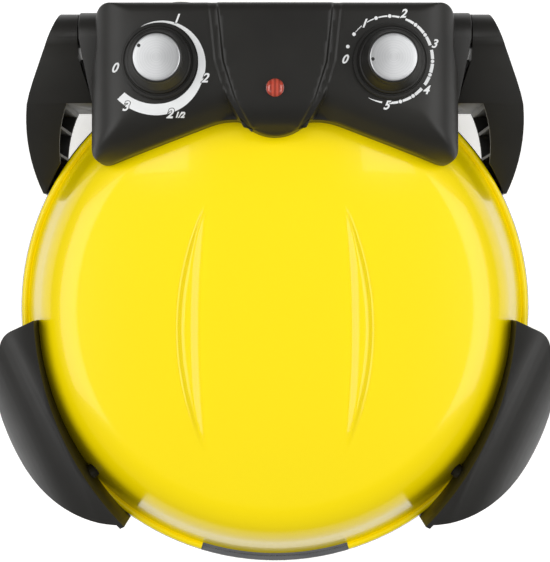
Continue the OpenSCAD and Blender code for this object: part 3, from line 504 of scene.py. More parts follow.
@dataclass(frozen=True)
class BakedEnamel(Finish):
    """Gloss stoving enamel on pressed steel: deep even colour under a wet, faintly rippled skin."""

    light: str = "#fadf00"
    drift_mm: float = 90.0
    ripple_mm: float = 7.0

    def pattern(self, on: Surface) -> None:
        """Adds a very slight drift in tone and orange peel."""
        on.feed("Base Color", on.cloud(self.drift_mm, 2.0, self.colour, self.light))
        on.skin(self.ripple_mm, 1.0, depth_mm=0.012, strength=0.5)


@dataclass(frozen=True)
class MouldedPlastic(Finish):
    """Black heat-proof plastic from a spark-eroded mould: a fine dry grain scatters the light."""

    light: str = "#3c3b37"
    flow_mm: float = 45.0
    patch_mm: float = 12.0
    grain_mm: float = 0.7  # A real one is about 0.1 mm; this one is as coarse as it has to show.

    def pattern(self, on: Surface) -> None:
        """Adds cloudy flow tones, slightly uneven gloss and the mould's grain.

        Args:
            on: The material's surface.
        """
        on.feed("Base Color", on.cloud(self.flow_mm, 3.0, self.colour, self.light))
        on.wear(self.patch_mm, self.roughness - 0.04, self.roughness + 0.05)
        on.skin(self.grain_mm, 2.0, depth_mm=0.02, strength=0.35)


@dataclass(frozen=True)
class RolledSteel(Finish):
    """Bright or satin sheet steel: long faint rolling streaks and small tone changes."""

    dark: str = "#8f9092"
    streak_mm: float = 3.0
    streak_squash: float = 0.06  # Along X, the streaks are about 17 times as long as wide.
    patch_mm: float = 30.0

    def pattern(self, on: Surface) -> None:
        """Adds streaks along X and uneven gloss.

        Args:
            on: The material's surface.
        """
        along = add(on.tree, "ShaderNodeMapping", {"Vector": on.coords,
                                                   "Scale": (self.streak_squash, 1.0, 1.0)})
        on.feed("Base Color", on.cloud(self.streak_mm, 3.0, self.dark, self.colour, 0.2, 0.75,
                                       along.outputs["Vector"]))
        on.wear(self.patch_mm, self.roughness * 0.8, self.roughness * 1.25)


@dataclass(frozen=True)
class SpunAluminium(Finish):
    """Spun aluminium cap: fine turned rings that draw the light into two opposite fans."""

    centre: tuple[float, float] = (0.0, 0.0)
    dark: str = "#b9babc"
    ring_mm: float = 0.35  # Real ones are under 0.1 mm; these are as coarse as they have to show.

    def pattern(self, on: Surface) -> None:
        """Adds the turned rings round the cap's own centre and lets the gloss follow them.

        Args:
            on: The material's surface.
        """
        x, y = self.centre
        middle = add(on.tree, "ShaderNodeMapping", {
            "Vector": on.coords, "Location": (-x * MM, -(y + OVEN.oven_y) * MM, 0.0),
            "Scale": (1.0, 1.0, 0.0)})
        ring = add(on.tree, "ShaderNodeVectorMath", {0: middle.outputs["Vector"]},
                   operation="LENGTH")
        axis = add(on.tree, "ShaderNodeCombineXYZ", {"X": ring.outputs["Value"]})
        turned = add(on.tree, "ShaderNodeTexNoise", {
            "Vector": axis.outputs["Vector"], "Scale": 1 / (self.ring_mm * MM), "Detail": 4.0})
        tone = add(on.tree, "ShaderNodeValToRGB", {"Fac": turned.outputs["Fac"]},
                   stops=((0.3, self.dark), (0.7, self.colour)))
        on.feed("Base Color", tone.outputs["Color"])
        on.emboss(turned.outputs["Fac"], depth_mm=0.01, strength=0.25)
        on.shader.inputs["Anisotropic"].default_value = 0.3
        tangent = add(on.tree, "ShaderNodeTangent", direction_type="UV_MAP", uv_map="turned")
        on.feed("Tangent", tangent.outputs["Tangent"])


@dataclass(frozen=True)
class FiredStone(Finish):
    """Cordierite baking stone: dry buff body with darker specks and open pores."""

    dark: str = "#b7a685"
    speck: str = "#8d7a5c"
    cloud_mm: float = 38.0
    speck_mm: float = 1.6
    pore_mm: float = 2.4

    def pattern(self, on: Surface) -> None:
        """Adds clouds, specks and pores.

        Args:
            on: The material's surface.
        """
        cloud = on.cloud(self.cloud_mm, 4.0, self.dark, self.colour)
        specks = on.cloud(self.speck_mm, 1.0, self.speck, "#ffffff", 0.28, 0.4)
        both = add(on.tree, "ShaderNodeMix", {"Factor": 0.85, "A": cloud, "B": specks},
                   data_type="RGBA", blend_type="MULTIPLY")
        on.feed("Base Color", both.outputs["Result"])
        pores = add(on.tree, "ShaderNodeTexVoronoi", {"Vector": on.coords,
                                                      "Scale": 1 / (self.pore_mm * MM)})
        on.emboss(pores.outputs["Distance"], depth_mm=0.15, strength=0.4)


@dataclass(frozen=True)
class HeatedTube(Finish):
    """Sheathed heating tube: nickel alloy gone olive and brown where it has glowed."""

    dark: str = "#3a3630"
    tint_mm: float = 26.0
    grain_mm: float = 1.1

    def pattern(self, on: Surface) -> None:
        """Adds heat tints and a dry skin."""
        on.feed("Base Color", on.cloud(self.tint_mm, 4.0, self.dark, self.colour))
        on.skin(self.grain_mm, 3.0, depth_mm=0.03, strength=0.4)


@dataclass(frozen=True)
class Matt(Finish):
    """A plain matt body, such as rubber, steatite or silicone, with a fine dry skin."""

    light: str = "#ffffff"
    cloud_mm: float = 9.0
    grain_mm: float = 1.0

    def pattern(self, on: Surface) -> None:
        """Adds a soft cloud of tone and the skin's grain."""
        on.feed("Base Color", on.cloud(self.cloud_mm, 3.0, self.colour, self.light))
        on.skin(self.grain_mm, 2.0, depth_mm=0.03, strength=0.4)


@dataclass(frozen=True)
class LampLens(Finish):
    """Translucent red polycarbonate: bright where the light goes through, deep at the edge."""

    dark: str = "#a8402f"
    rib_mm: float = 1.4

    def pattern(self, on: Surface) -> None:
        """Lets light through and adds the lens's fine ribs, with painted shade that darkens their
        valleys and lightens their crests.

        Args:
            on: The material's surface.
        """
        on.shader.inputs["Transmission Weight"].default_value = 0.35
        on.shader.inputs["Subsurface Weight"].default_value = 0.3
        on.shader.inputs["Subsurface Scale"].default_value = 0.003
        ribs = add(on.tree, "ShaderNodeTexWave", {
            "Vector": on.coords, "Scale": 1 / (self.rib_mm * MM) / math.tau},
            wave_type="BANDS", bands_direction="X")
        on.emboss(ribs.outputs["Fac"], depth_mm=0.08, strength=0.5)
        # Painted shade: the ribs' tone runs from the dark red in their valleys to the full red on
        # their crests.
        tone = add(on.tree, "ShaderNodeValToRGB", {"Fac": ribs.outputs["Fac"]},
                   stops=((0.0, self.dark), (1.0, self.colour)))
        on.feed("Base Color", tone.outputs["Color"])


class Shop:
    """The finishes of this oven, each built once."""

    def __init__(self) -> None:
        """Builds every material."""
        self.enamel = BakedEnamel("yellow_enamel", "#fbe000", 0.24, coat=0.3, specular=0.35,
                                  coat_roughness=0.04).build()
        self.plastic = MouldedPlastic("moulded_black", "#1b1a18", 0.42, light="#21201d",
                                      specular=0.4).build()
        self.knob_plastic = MouldedPlastic("knob_black", "#161513", 0.48, light="#1c1b18",
                                           specular=0.4).build()
        self.bright = RolledSteel("bright_liner", "#d8d9da", 0.2, metallic=1.0,
                                  dark="#b4b5b7").build()
        self.steel = RolledSteel("satin_steel", "#b9babb", 0.34, metallic=1.0).build()
        self.stone = FiredStone("fired_stone", "#cdbd9c", 0.9).build()
        self.tube = HeatedTube("heated_tube", "#6b6558", 0.42, metallic=0.85).build()
        self.rubber = Matt("foot_rubber", "#1c1c1b", 0.8, light="#262625").build()
        self.ceramic = Matt("steatite", "#e3e0d6", 0.55, light="#f1eee6").build()
        self.white = Matt("white_plastic", "#d5d3cb", 0.4, light="#e6e4dc").build()
        self.sheath = Matt("silicone_sheath", "#8f2f20", 0.6, light="#a8402c").build()
        self.lens = LampLens("lamp_lens_red", "#e0604a", 0.12, ior=1.58).build()
        self.ink = Matt("dial_ink", "#d8d9d9", 0.5, light="#dfe0e0", grain_mm=0.5).build()
        self.dark_ink = Matt("dial_edge_ink", "#22211f", 0.5, light="#2b2a27",
                             grain_mm=0.5).build()
        self.dot = Finish("dot_paint", "#1c1c1c", 0.5).build()


# ------------------------------------------------------------------ lid dome


@dataclass
class LidDome:
    """The pressed dome with its two embossed crescents, rolled rim and front vent."""

    shop: Shop
    segments: int = 360
    ring_step: float = 0.9
    ridge_mid_x: float = 63.0
    ridge_y: float = -13.0
    ridge_len: float = 156.0
    ridge_in_end: float = 4.0
    ridge_w: float = 15.0
    ridge_out_rise: float = 17.0
    ridge_in_rise: float = 4.0
    ridge_h: float = 3.2
    ridge_foot: float = 0.8
    ridge_steep: float = 0.8
    ridge_top: float = 4.3
    ridge_inner: float = 7.0
    vent_half: float = 17.0
    vent_z: float = 67.6
    shoulder_steps: int = 26
    flank_steps: int = 4
    inner_every: int = 6
    inner_draw: float = 0.4
    bead_steps: int = 20

    def ridge(self, x: float, y: float) -> float:
        """Height of the embossed crescents, each between two arcs.

        Args:
            x: Distance of the point from the oven's middle line.
            y: Its place along that line.

        Returns:
            The height above the crown.
        """
        half = self.ridge_len / 2
        out_r = (half ** 2 + self.ridge_out_rise ** 2) / (2 * self.ridge_out_rise)
        inner = half - self.ridge_in_end
        in_r = (inner ** 2 + self.ridge_in_rise ** 2) / (2 * self.ridge_in_rise)
        x = abs(x)
        d_out = out_r - math.hypot(x - (self.ridge_mid_x - out_r), y - self.ridge_y)
        d_in = math.hypot(x - (self.ridge_mid_x - self.ridge_w - in_r), y - self.ridge_y) - in_r
        if min(d_out, d_in) <= 0:
            return 0.0
        t = min(d_in / self.ridge_inner, 1.0)
        return min(self.ridge_h * t * t * (3 - 2 * t), self.outer_flank(d_out))

    def outer_flank(self, d: float) -> float:
        """Height of a crescent's outer side: a tight foot, a short slope and a long round top.

        Args:
            d: Distance inside the outer arc.

        Returns:
            The height above the crown.
        """
        a, b, c = self.ridge_foot, self.ridge_steep, self.ridge_top
        slope = self.ridge_h / (a / 2 + b + c / 2)
        if d < a:
            return slope * d * d / (2 * a)
        if d < a + b:
            return slope * (d - a / 2)
        left = max(a + b + c - d, 0.0)
        return self.ridge_h - slope * left * left / (2 * c)

    def outer_line(self) -> Line:
        """Dense outer line of the dome from the middle down to the vent's upper edge.

        Returns:
            Its points, as radius and height.
        """
        cx, cz, turn = OVEN.shoulder
        joint_r = OVEN.crown_r * math.cos(turn)
        steps = round(joint_r / self.ring_step)
        radii = [joint_r * k / steps for k in range(1, steps + 1)]
        line = [(r, OVEN.dome_z(r)) for r in radii]
        line += arc(cx, cz, OVEN.shoulder_r, math.degrees(turn), OVEN.flank_lean,
                    self.shoulder_steps)[1:]
        foot_r, foot_z = OVEN.flank_foot
        z0 = line[-1][1]
        for k in range(1, self.flank_steps + 1):
            z = z0 + (self.vent_z - z0) * k / self.flank_steps
            line.append((foot_r - (z - foot_z) * math.tan(math.radians(OVEN.flank_lean)), z))
        return line

    def build(self) -> None:
        """Builds the dome and puts it in the place of its CAD node."""
        outer = self.outer_line()
        lean = math.radians(OVEN.flank_lean)
        t = OVEN.sheet_t
        inner = [(max(r - t * self.inner_draw, self.inner_draw), z - t)
                 for r, z in outer[::self.inner_every]]
        inner.append((outer[-1][0] - t / math.cos(lean), outer[-1][1]))
        points, faces = lathe(outer, self.segments, closed=False)
        points = [(x, y, z + self.ridge(x, y)) for x, y, z in points]
        n = len(outer)
        top = len(points)
        points.append((0, 0, OVEN.dome_top_z))
        faces += [(top, k * n, ((k + 1) % self.segments) * n) for k in range(self.segments)]
        low_points, low_faces = lathe(inner, self.segments, closed=False)
        base, m = len(points), len(inner)
        points += low_points
        faces += [tuple(base + i for i in reversed(f)) for f in low_faces]
        points.append((0, 0, OVEN.dome_top_z - t))
        for k in range(self.segments):
            j = (k + 1) % self.segments
            faces.append((len(points) - 1, base + j * m, base + k * m))
            faces.append((k * n + n - 1, j * n + n - 1, base + j * m + m - 1, base + k * m + m - 1))
        made = new_piece("dome", *merge_parts((points, faces), self.skirt()), self.shop.enamel,
                         outward=False)
        clean_mesh(made.data)
        soften(made.data, 40)
        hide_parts("lid_dome")
        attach(made, "lid")

    def skirt(self) -> tuple[Points, Faces]:
        """The lowest part of the flank with the rolled bead, left open at the front vent.

        Returns:
            Points and faces.
        """
        foot_r, foot_z = OVEN.flank_foot
        lean = math.tan(math.radians(OVEN.flank_lean))
        top_r = foot_r - (self.vent_z - foot_z) * lean
        bead_c = (OVEN.rim_r - OVEN.bead_r, OVEN.parting_z + OVEN.bead_r)
        bead = arc(*bead_c, OVEN.bead_r, 155, -180, self.bead_steps)
        profile = [(top_r, self.vent_z), (foot_r + 0.2, foot_z + 0.9)] + bead \
            + [(top_r - OVEN.sheet_t / math.cos(math.radians(OVEN.flank_lean)), self.vent_z)]
        start = -90 + self.vent_half
        return lathe(profile, self.segments, start=start, sweep=360 - 2 * self.vent_half)


# ------------------------------------------------------------------ control housing


@dataclass
class ControlHousing:
    """The moulded housing on the lid, with its raised middle, side shoulders and hinge collars."""

    shop: Shop
    half_w: float = 117.5
    rear_w: float = 113.5
    back: float = 15.5
    corner_r: float = 8.0
    waist_y: float = -14.0
    hip_y: float = -29.0
    flank_y: float = -75.0
    tip_in: float = 9.5
    tip_y: float = -76.0
    tip_r: float = 9.0
    side_round: float = 28.0
    front_round: float = 34.0
    slope_y: float = -51.0
    rear_round: float = 6.0
    brow_r: float = 25.0
    brow_steepest: float = 48.0
    brow_blend: float = 5.0
    front_slant: float = 21.3
    hill: tuple[float, float] = (26.6, -97.3)
    hill_r: float = 40.0
    lobe_y: float = -39.5
    lobe_r: float = 28.0
    lobe_from: float = -39.5
    outline_step: float = 1.5
    ease_step: float = 0.8
    ease_rounds: int = 9
    edge_r: float = 1.3
    edge_turns: tuple[float, ...] = (0.0, 25.0, 50.0, 75.0)
    wall_levels: int = 4
    wall_t: float = 2.4
    grid: float = 2.2
    grid_gap: float = 0.9
    line_gap: float = 0.5
    line_step: float = 1.3
    gap_to_dome: float = 0.3
    shield_side: tuple[tuple[float, float], ...] = ((42.0, 20.0), (37.6, -22.0), (30.4, -45.0),
                                                    (20.0, -63.0))
    shield_lean: float = 0.99
    shield_in: float = 5.2
    shield_rise: float = 1.0
    channel_d: float = 0.8
    step_w: float = 1.8
    collar_r: float = 15.0
    collar_x: float = 126.5
    collar_steps: int = 26
    fairing_front: float = -44.0
    fairing_top: float = 6.0
    fairing_r: float = 2.0
    fairing_in: float = 7.9
    fairing_rear: float = -9.3

    def outline(self) -> Line:
        """The housing seen from above.

        Returns:
            An evenly stepped loop, from the hinge axis, that starts at the back.
        """
        slant = self.front_slant
        half = arc(self.rear_w - self.corner_r, self.back - self.corner_r, self.corner_r, 90, 0, 8)
        half += [(self.rear_w, self.waist_y), (self.half_w, self.hip_y),
                 (self.half_w, self.flank_y)]
        half += arc(self.half_w - self.tip_in, self.tip_y, self.tip_r, -20, -90 - slant, 10)
        half += arc(*self.hill, self.hill_r, 90 - slant, 90, 6)
        half += arc(0, self.lobe_y, self.lobe_r, self.lobe_from, -90, 14)
        whole = half + [(-x, y) for x, y in reversed(half[:-1])]
        return self.even(self.ease(whole), self.outline_step)

    def ease(self, loop: Line) -> Line:
        """Softens a loop's corners a little.

        Args:
            loop: The loop.

        Returns:
            The loop after some rounds of averaging with its neighbours.
        """
        pts = np.array(self.even(loop, self.ease_step))
        for _ in range(self.ease_rounds):
            pts = 0.5 * pts + 0.25 * (np.roll(pts, 1, 0) + np.roll(pts, -1, 0))
        return [tuple(p) for p in pts]

    @staticmethod
    def even(loop: Line, step: float) -> Line:
        """Steps a closed loop evenly.

        Args:
            loop: The loop.
            step: The wanted distance between points.

        Returns:
            The new points.
        """
        pts = np.array(loop + [loop[0]], float)
        run = np.concatenate([[0], np.cumsum(np.hypot(*np.diff(pts, axis=0).T))])
        count = max(8, round(run[-1] / step))
        at = np.linspace(0, run[-1], count, endpoint=False)
        return list(zip(np.interp(at, run, pts[:, 0]), np.interp(at, run, pts[:, 1])))

    @staticmethod
    def inset(loop: Line, d: float) -> Line:
        """Moves a loop inwards, whichever way it runs.

        Args:
            loop: The loop.
            d: How far it moves.

        Returns:
            The moved points.
        """
        pts = np.array(loop)
        along = np.roll(pts, -1, 0) - np.roll(pts, 1, 0)
        along /= np.hypot(*along.T)[:, None]
        x, y = pts.T
        area = 0.5 * np.sum(x * np.roll(y, -1) - np.roll(x, -1) * y)
        side = np.stack([-along[:, 1], along[:, 0]], 1) * (1 if area > 0 else -1)
        return [tuple(p) for p in pts + d * side]

    def shield_depth(self, x: float, y: float) -> float:
        """How far inside the raised middle's outer line a point is.

        Args:
            x: Distance of the point from the middle line.
            y: Its distance behind the hinge axis.

        Returns:
            The distance, negative outside.
        """
        lobe = self.lobe_r - math.hypot(x, y - self.lobe_y)
        if y < self.shield_side[-1][1]:
            return lobe
        edge = float(np.interp(-y, [-p[1] for p in self.shield_side],
                               [p[0] for p in self.shield_side]))
        return max(self.shield_lean * (edge - abs(x)), lobe)

    @staticmethod
    def roll(over: float, r: float, steepest: float = 90.0) -> float:
        """How far a rounded edge has dropped at a distance past its start.

        Args:
            over: The distance.
            r: The edge's radius.
            steepest: Slope in degrees at which the round ends and a straight slope goes on.

        Returns:
            The drop.
        """
        end = r * math.sin(math.radians(steepest))
        over = min(max(over, 0.0), r)
        round_part = min(over, end)
        drop = r - math.sqrt(r * r - round_part * round_part)
        return drop + max(over - end, 0.0) * math.tan(math.radians(min(steepest, 80.0)))

    def step(self, d: float) -> float:
        """Rises smoothly from 0 to 1 over the width of the channel's steps."""
        t = min(max(d / self.step_w + 0.5, 0.0), 1.0)
        return t * t * (3 - 2 * t)

    def brow_drop(self, x: float, y: float) -> float:
        """How far the face has dropped towards the slanted front line of its half.

        Args:
            x: Distance of the point from the middle line.
            y: Its distance behind the hinge axis.

        Returns:
            The drop.
        """
        slant = math.radians(self.front_slant)
        touch = (self.hill[0] + self.hill_r * math.sin(slant),
                 self.hill[1] + self.hill_r * math.cos(slant))
        behind = (abs(x) - touch[0]) * math.sin(slant) + (y - touch[1]) * math.cos(slant)
        return self.roll(self.brow_r - behind, self.brow_r, self.brow_steepest)

    def top(self, x: float, y: float) -> float:
        """Height of the housing's upper face.

        Args:
            x: Distance of the point from the middle line.
            y: Its distance behind the hinge axis.

        Returns:
            The height above the table.
        """
        side = self.roll(abs(x) - self.half_w + self.side_round, self.side_round)
        front = self.roll(self.slope_y - y, self.front_round)
        rear = self.roll(y - self.back + self.rear_round, self.rear_round)
        brow = self.brow_drop(x, y)
        lobe = self.roll(self.lobe_y - self.lobe_r + self.brow_r - y, self.brow_r,
                         self.brow_steepest)
        inside = self.shield_depth(x, y)
        middle = self.step(inside)
        edge = brow + (min(brow, lobe) - brow) * middle
        drop = (side ** self.brow_blend + front ** self.brow_blend
                + edge ** self.brow_blend) ** (1 / self.brow_blend)
        drop = max(drop, rear)
        rise = (self.channel_d + self.shield_rise) * self.step(inside - self.shield_in)
        return OVEN.panel_z - drop - self.channel_d * middle + rise

    def under(self, x: float, y: float) -> float:
        """Height of the housing's lower edge at a point, seen from the hinge axis."""
        r = min(math.hypot(x, y + OVEN.hinge_y), OVEN.rim_r)
        return max(OVEN.dome_z(r, self.gap_to_dome), OVEN.tray_z + self.gap_to_dome)

    def shell(self) -> tuple[Points, Faces]:
        """The upper face with its rounded edge and the walls down to the dome.

        Returns:
            Points and faces.
        """
        outline = self.outline()
        e = self.edge_r
        rounds = [(e * (1 - math.cos(a)), e * (1 - math.sin(a)))
                  for a in (math.radians(d) for d in self.edge_turns)]
        loops = [(self.inset(outline, d), drop) for d, drop in rounds]
        core = self.inset(outline, e)
        coords = [Vector(p) for loop, _ in loops for p in loop] + [Vector(p) for p in core]
        count = len(outline)
        edges = []
        for k in range(len(loops) + 1):
            edges += [(k * count + i, k * count + (i + 1) % count) for i in range(count)]
        for line in self.shield_lines():
            start = len(coords)
            coords += [Vector(p) for p in line]
            edges += [(start + i, start + i + 1) for i in range(len(line) - 1)]
        hull = np.array(self.inset(outline, e + self.grid_gap))
        xs = np.arange(-self.half_w, self.half_w + 0.1, self.grid)
        ys = np.arange(-86, self.back, self.grid)
        keep = [(x, y) for x in xs for y in ys
                if self.inside(hull, x, y) and self.far_from_lines(x, y)]
        coords += [Vector(p) for p in keep]
        found = delaunay_2d_cdt(coords, edges, [list(range(count))], 1, 1e-5)
        flat, tris, origin = found[0], found[2], found[3]
        drops = {k * count + i: drop for k, (_, drop) in enumerate(loops) for i in range(count)}
        points: Points = []
        where = {}
        for i, p in enumerate(flat):
            drop = min((drops[j] for j in origin[i] if j in drops), default=0.0)
            points.append((p.x, p.y + OVEN.hinge_y, self.top(p.x, p.y) - drop))
            where.update({j: i for j in origin[i] if j < count})
        faces: Faces = [tuple(t) for t in tris]
        levels = self.wall_levels
        base = len(points)
        for k in range(1, levels + 1):
            for i in range(count):
                x, y = outline[i]
                z0 = points[where[i]][2]
                z1 = min(self.under(x, y), z0 - 0.2)
                points.append((x, y + OVEN.hinge_y, z0 + (z1 - z0) * k / levels))
        for i in range(count):
            j = (i + 1) % count
            upper_i, upper_j = where[i], where[j]
            for k in range(levels):
                a, b = base + k * count + i, base + k * count + j
                faces.append((upper_i, a, b, upper_j))
                upper_i, upper_j = a, b
        return points, faces

    def step_depths(self) -> list[float]:
        """Distances inside the raised middle's outline at which lines follow the steps."""
        across = [k * self.step_w / 2 for k in (-1.0, -0.45, 0.0, 0.45, 1.0)]
        return [at + d for at in (0.0, self.shield_in) for d in across]

    def shield_lines(self) -> list[Line]:
        """Lines along both steps of the channel, where the face needs fine corners.

        Returns:
            The lines, each found by halving the distance from the middle line.
        """
        out = []
        for depth in self.step_depths():
            for s in (1, -1):
                line = []
                y = self.back - self.edge_r - 1.2
                while y > self.lobe_y - self.lobe_r + 1.6:
                    low, high = 0.0, 60.0
                    for _ in range(30):
                        mid = (low + high) / 2
                        if self.shield_depth(mid, y) > depth:
                            low = mid
                        else:
                            high = mid
                    if low > 3:
                        line.append((s * low, y))
                    y -= self.line_step
                out.append(line)
        return out

    def far_from_lines(self, x: float, y: float) -> bool:
        """Whether a grid point keeps clear of the channel's steps."""
        inside = self.shield_depth(x, y)
        return all(abs(inside - d) > self.line_gap for d in self.step_depths())

    @staticmethod
    def inside(loop: np.ndarray, x: float, y: float) -> bool:
        """Whether a point lies inside a closed loop.

        Args:
            loop: The loop's corners, one a row.
            x: The point's first coordinate.
            y: Its second.

        Returns:
            Whether a ray from the point crosses the loop an odd number of times.
        """
        px, py = loop.T
        qx, qy = np.roll(px, -1), np.roll(py, -1)
        cross = (py > y) != (qy > y)
        with np.errstate(divide="ignore", invalid="ignore"):
            at = px + (y - py) * (qx - px) / (qy - py)
        return bool(np.count_nonzero(cross & (x < at)) % 2)

    def collar(self, side: int) -> tuple[Points, Faces]:
        """The collar that takes the hinge pin, with the fairing in front of it.

        Args:
            side: -1 for the left collar, 1 for the right one.

        Returns:
            Points and faces.
        """
        low = OVEN.tray_z + self.gap_to_dome - OVEN.hinge_z
        r = self.collar_r
        a_low = math.degrees(math.asin(low / r))
        front = Vector((self.fairing_front, self.fairing_top))
        reach = front.length
        tangent = math.degrees(math.atan2(front.y, front.x) - math.acos(r / reach))
        section = arc(0, 0, r, a_low, tangent, self.collar_steps)
        section += [tuple(front), (front.x, low)]
        section = rounded(section, {len(section) - 2: self.fairing_r})
        mid = Vector((sum(p[0] for p in section), sum(p[1] for p in section))) / len(section)
        points: Points = []
        n = len(section)
        for grow, back in ((0, None), (0, 0.9), (0.35, 0.3), (1.0, 0.0)):
            for y, z in section:
                v = (Vector((y, z)) - mid)
                v = v * (1 - grow / max(v.length, 1)) + mid
                edge = np.interp(y, [self.fairing_front, self.fairing_rear],
                                 [self.collar_x - self.fairing_in, self.collar_x])
                x = self.rear_w - 3 if back is None else edge - back
                points.append((side * x, v.x + OVEN.hinge_y, v.y + OVEN.hinge_z))
        faces: Faces = []
        for k in range(3):
            for i in range(n):
                j = (i + 1) % n
                faces.append((k * n + i, k * n + j, (k + 1) * n + j, (k + 1) * n + i))
        faces.append(tuple(range(n)))
        faces.append(tuple(range(3 * n, 4 * n)))
        return points, faces

    def build(self) -> None:
        """Builds the housing and puts it in the place of its CAD node."""
        body = new_piece("housing_shell", *self.shell(), self.shop.plastic, 45)
        wall = body.modifiers.new("wall", "SOLIDIFY")
        wall.thickness = self.wall_t * MM
        wall.offset = -1
        settle(body, 45)
        collars = [new_piece(f"collar_{side}", *self.collar(side), self.shop.plastic, 35)
                   for side in (-1, 1)]
        made = join("housing", [body, *collars])
        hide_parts("control_housing")
        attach(made, "lid")


# ------------------------------------------------------------------ dial print


class Dial(Enum):
    """The two dials on the panel."""

    TEMPERATURE = "temp"
    TIMER = "timer"


@dataclass
class DialPrint:
    """White print round a knob: numbers and, for each dial, its own kind of scale."""

    shop: Shop
    dial: Dial
    housing: ControlHousing
    centre: tuple[float, float]
    raise_mm: float = 0.05
    ink_mm: float = 0.05
    edge_mm: float = 0.08
    number_mm: float = 0.12
    edge_bold: float = 0.62
    number_bold: float = 0.2
    slant: float = 0.38
    cut_mm: float = 1.2
    band_step: float = 3.0
    bar_gap: float = 3.1
    bars: tuple[float, ...] = (0.35, 0.5, 0.7, 1.0, 1.25, 1.7, 1.9, 2.0, 2.1, 2.1, 2.0, 1.8, 1.5,
                               1.3)
    tail: tuple[tuple[float, float, float], ...] = ((-25.0, -0.1, 0.1), (-6.0, -0.6, 0.5))

    @property
    def z(self) -> float:
        """Height of the print's underside where the panel is flat."""
        return OVEN.panel_z + self.raise_mm

    def band(self, stations: list[tuple[float, float, float]]) -> tuple[Points, Faces]:
        """A curved band whose inner and outer radius change with the angle.

        Args:
            stations: Angle, inner radius and outer radius, in order of angle.

        Returns:
            Points and faces.
        """
        turns, low, high = zip(*stations)
        n = max(3, round((turns[-1] - turns[0]) / self.band_step))
        inner, outer = [], []
        for k in range(n + 1):
            a = turns[0] + (turns[-1] - turns[0]) * k / n
            t = math.radians(a)
            for line, radii in ((inner, low), (outer, high)):
                r = float(np.interp(a, turns, radii))
                line.append((r * math.cos(t), r * math.sin(t)))
        cx, cy = self.centre
        loops = [(inner, 0.0), (outer, 0.0), (outer, self.ink_mm), (inner, self.ink_mm)]
        points = [(cx + x, cy + y, self.z + h) for loop, h in loops for x, y in loop]
        m = n + 1
        faces: Faces = []
        for i in range(n):
            for k in range(4):
                a, b = k * m, ((k + 1) % 4) * m
                faces.append((a + i, a + i + 1, b + i + 1, b + i))
        faces += [(0, m, 2 * m, 3 * m), (n, 3 * m + n, 2 * m + n, m + n)]
        return points, faces

    def number(self, text: str, at: tuple[float, float], size: float, bold: float, height: float,
               finish: bpy.types.Material) -> bpy.types.Object:
        """A slanted number, made a mesh before it is placed.

        Args:
            text: The figures.
            at: Its middle, from the knob's axis.
            size: Size of the figures.
            bold: How far their outline is moved outwards.
            height: Thickness of the print.
            finish: Its material.

        Returns:
            The number's object, at the origin.
        """
        curve = bpy.data.curves.new("number", "FONT")
        curve.body = text
        curve.size = size * MM
        curve.shear = self.slant
        curve.offset = bold * MM
        curve.extrude = height * MM / 2
        curve.align_x = "CENTER"
        curve.align_y = "CENTER"
        holder = put("number", curve)
        graph = bpy.context.evaluated_depsgraph_get()
        mesh = bpy.data.meshes.new_from_object(holder.evaluated_get(graph))
        bpy.data.objects.remove(holder)
        bpy.data.curves.remove(curve)
        spot = (self.centre[0] + at[0], self.centre[1] + at[1], self.z + height / 2)
        mesh.transform(Matrix.Translation(place([spot])[0]))
        mesh.materials.clear()
        mesh.materials.append(finish)
        clean_mesh(mesh, 1e-7)
        return put("number", mesh)

    def numbers(self, marks: list[tuple[str, float, float, float]]) -> list[bpy.types.Object]:
        """Every number with the dark edge that sets it off from the scale.

        Args:
            marks: For each number its figures, its place from the knob's axis and its size.

        Returns:
            Two objects for each number.
        """
        made = []
        for text, x, y, size in marks:
            for bold, height, finish in ((self.edge_bold, self.edge_mm, self.shop.dark_ink),
                                         (self.number_bold, self.number_mm, self.shop.ink)):
                made.append(self.number(text, (x, y), size, bold, height, finish))
        return made

    def drape(self, piece: bpy.types.Object) -> None:
        """Cuts a flat print into small faces and lays it on the panel's curved face.

        Args:
            piece: The print, changed in place.
        """
        bm = bmesh.new()
        bm.from_mesh(piece.data)
        for axis in (0, 1):
            places = [v.co[axis] for v in bm.verts]
            first, last = min(places), max(places)
            for k in range(1, math.ceil((last - first) / (self.cut_mm * MM))):
                at, way = Vector(), Vector()
                at[axis] = first + k * self.cut_mm * MM
                way[axis] = 1.0
                bmesh.ops.bisect_plane(bm, geom=bm.verts[:] + bm.edges[:] + bm.faces[:], dist=1e-7,
                                       plane_co=at, plane_no=way)
        for v in bm.verts:
            x, y = v.co.x / MM, v.co.y / MM - OVEN.oven_y - OVEN.hinge_y
            v.co.z += (self.housing.top(x, y) - OVEN.panel_z) * MM
        bm.to_mesh(piece.data)
        bm.free()
        soften(piece.data, 30)

    def temperature(self) -> list[bpy.types.Object]:
        """The widening band and its numbers.

        Returns:
            Their objects.
        """
        scale = self.band([(-138, 28.8, 35.0), (-115, 27.5, 34.2), (-90, 26.4, 33.3),
                           (-60, 25.7, 31.8), (-30, 25.0, 30.0), (0, 24.6, 29.2),
                           (30, 24.7, 28.0), (60, 24.7, 26.6), (90, 24.4, 25.4),
                           (110, 24.1, 24.7), (123, 23.9, 24.0)])
        marks = [("0", -28.1, -3.9, 8.2), ("1", 10.8, 26.6, 7.6), ("2", 28.5, -10.5, 8.0),
                 ("2", 6.4, -32.4, 8.0), ("1/2", 12.6, -33.0, 4.6), ("3", -21.1, -28.1, 8.2)]
        return [new_piece("scale", *scale, self.shop.ink, 30), *self.numbers(marks)]

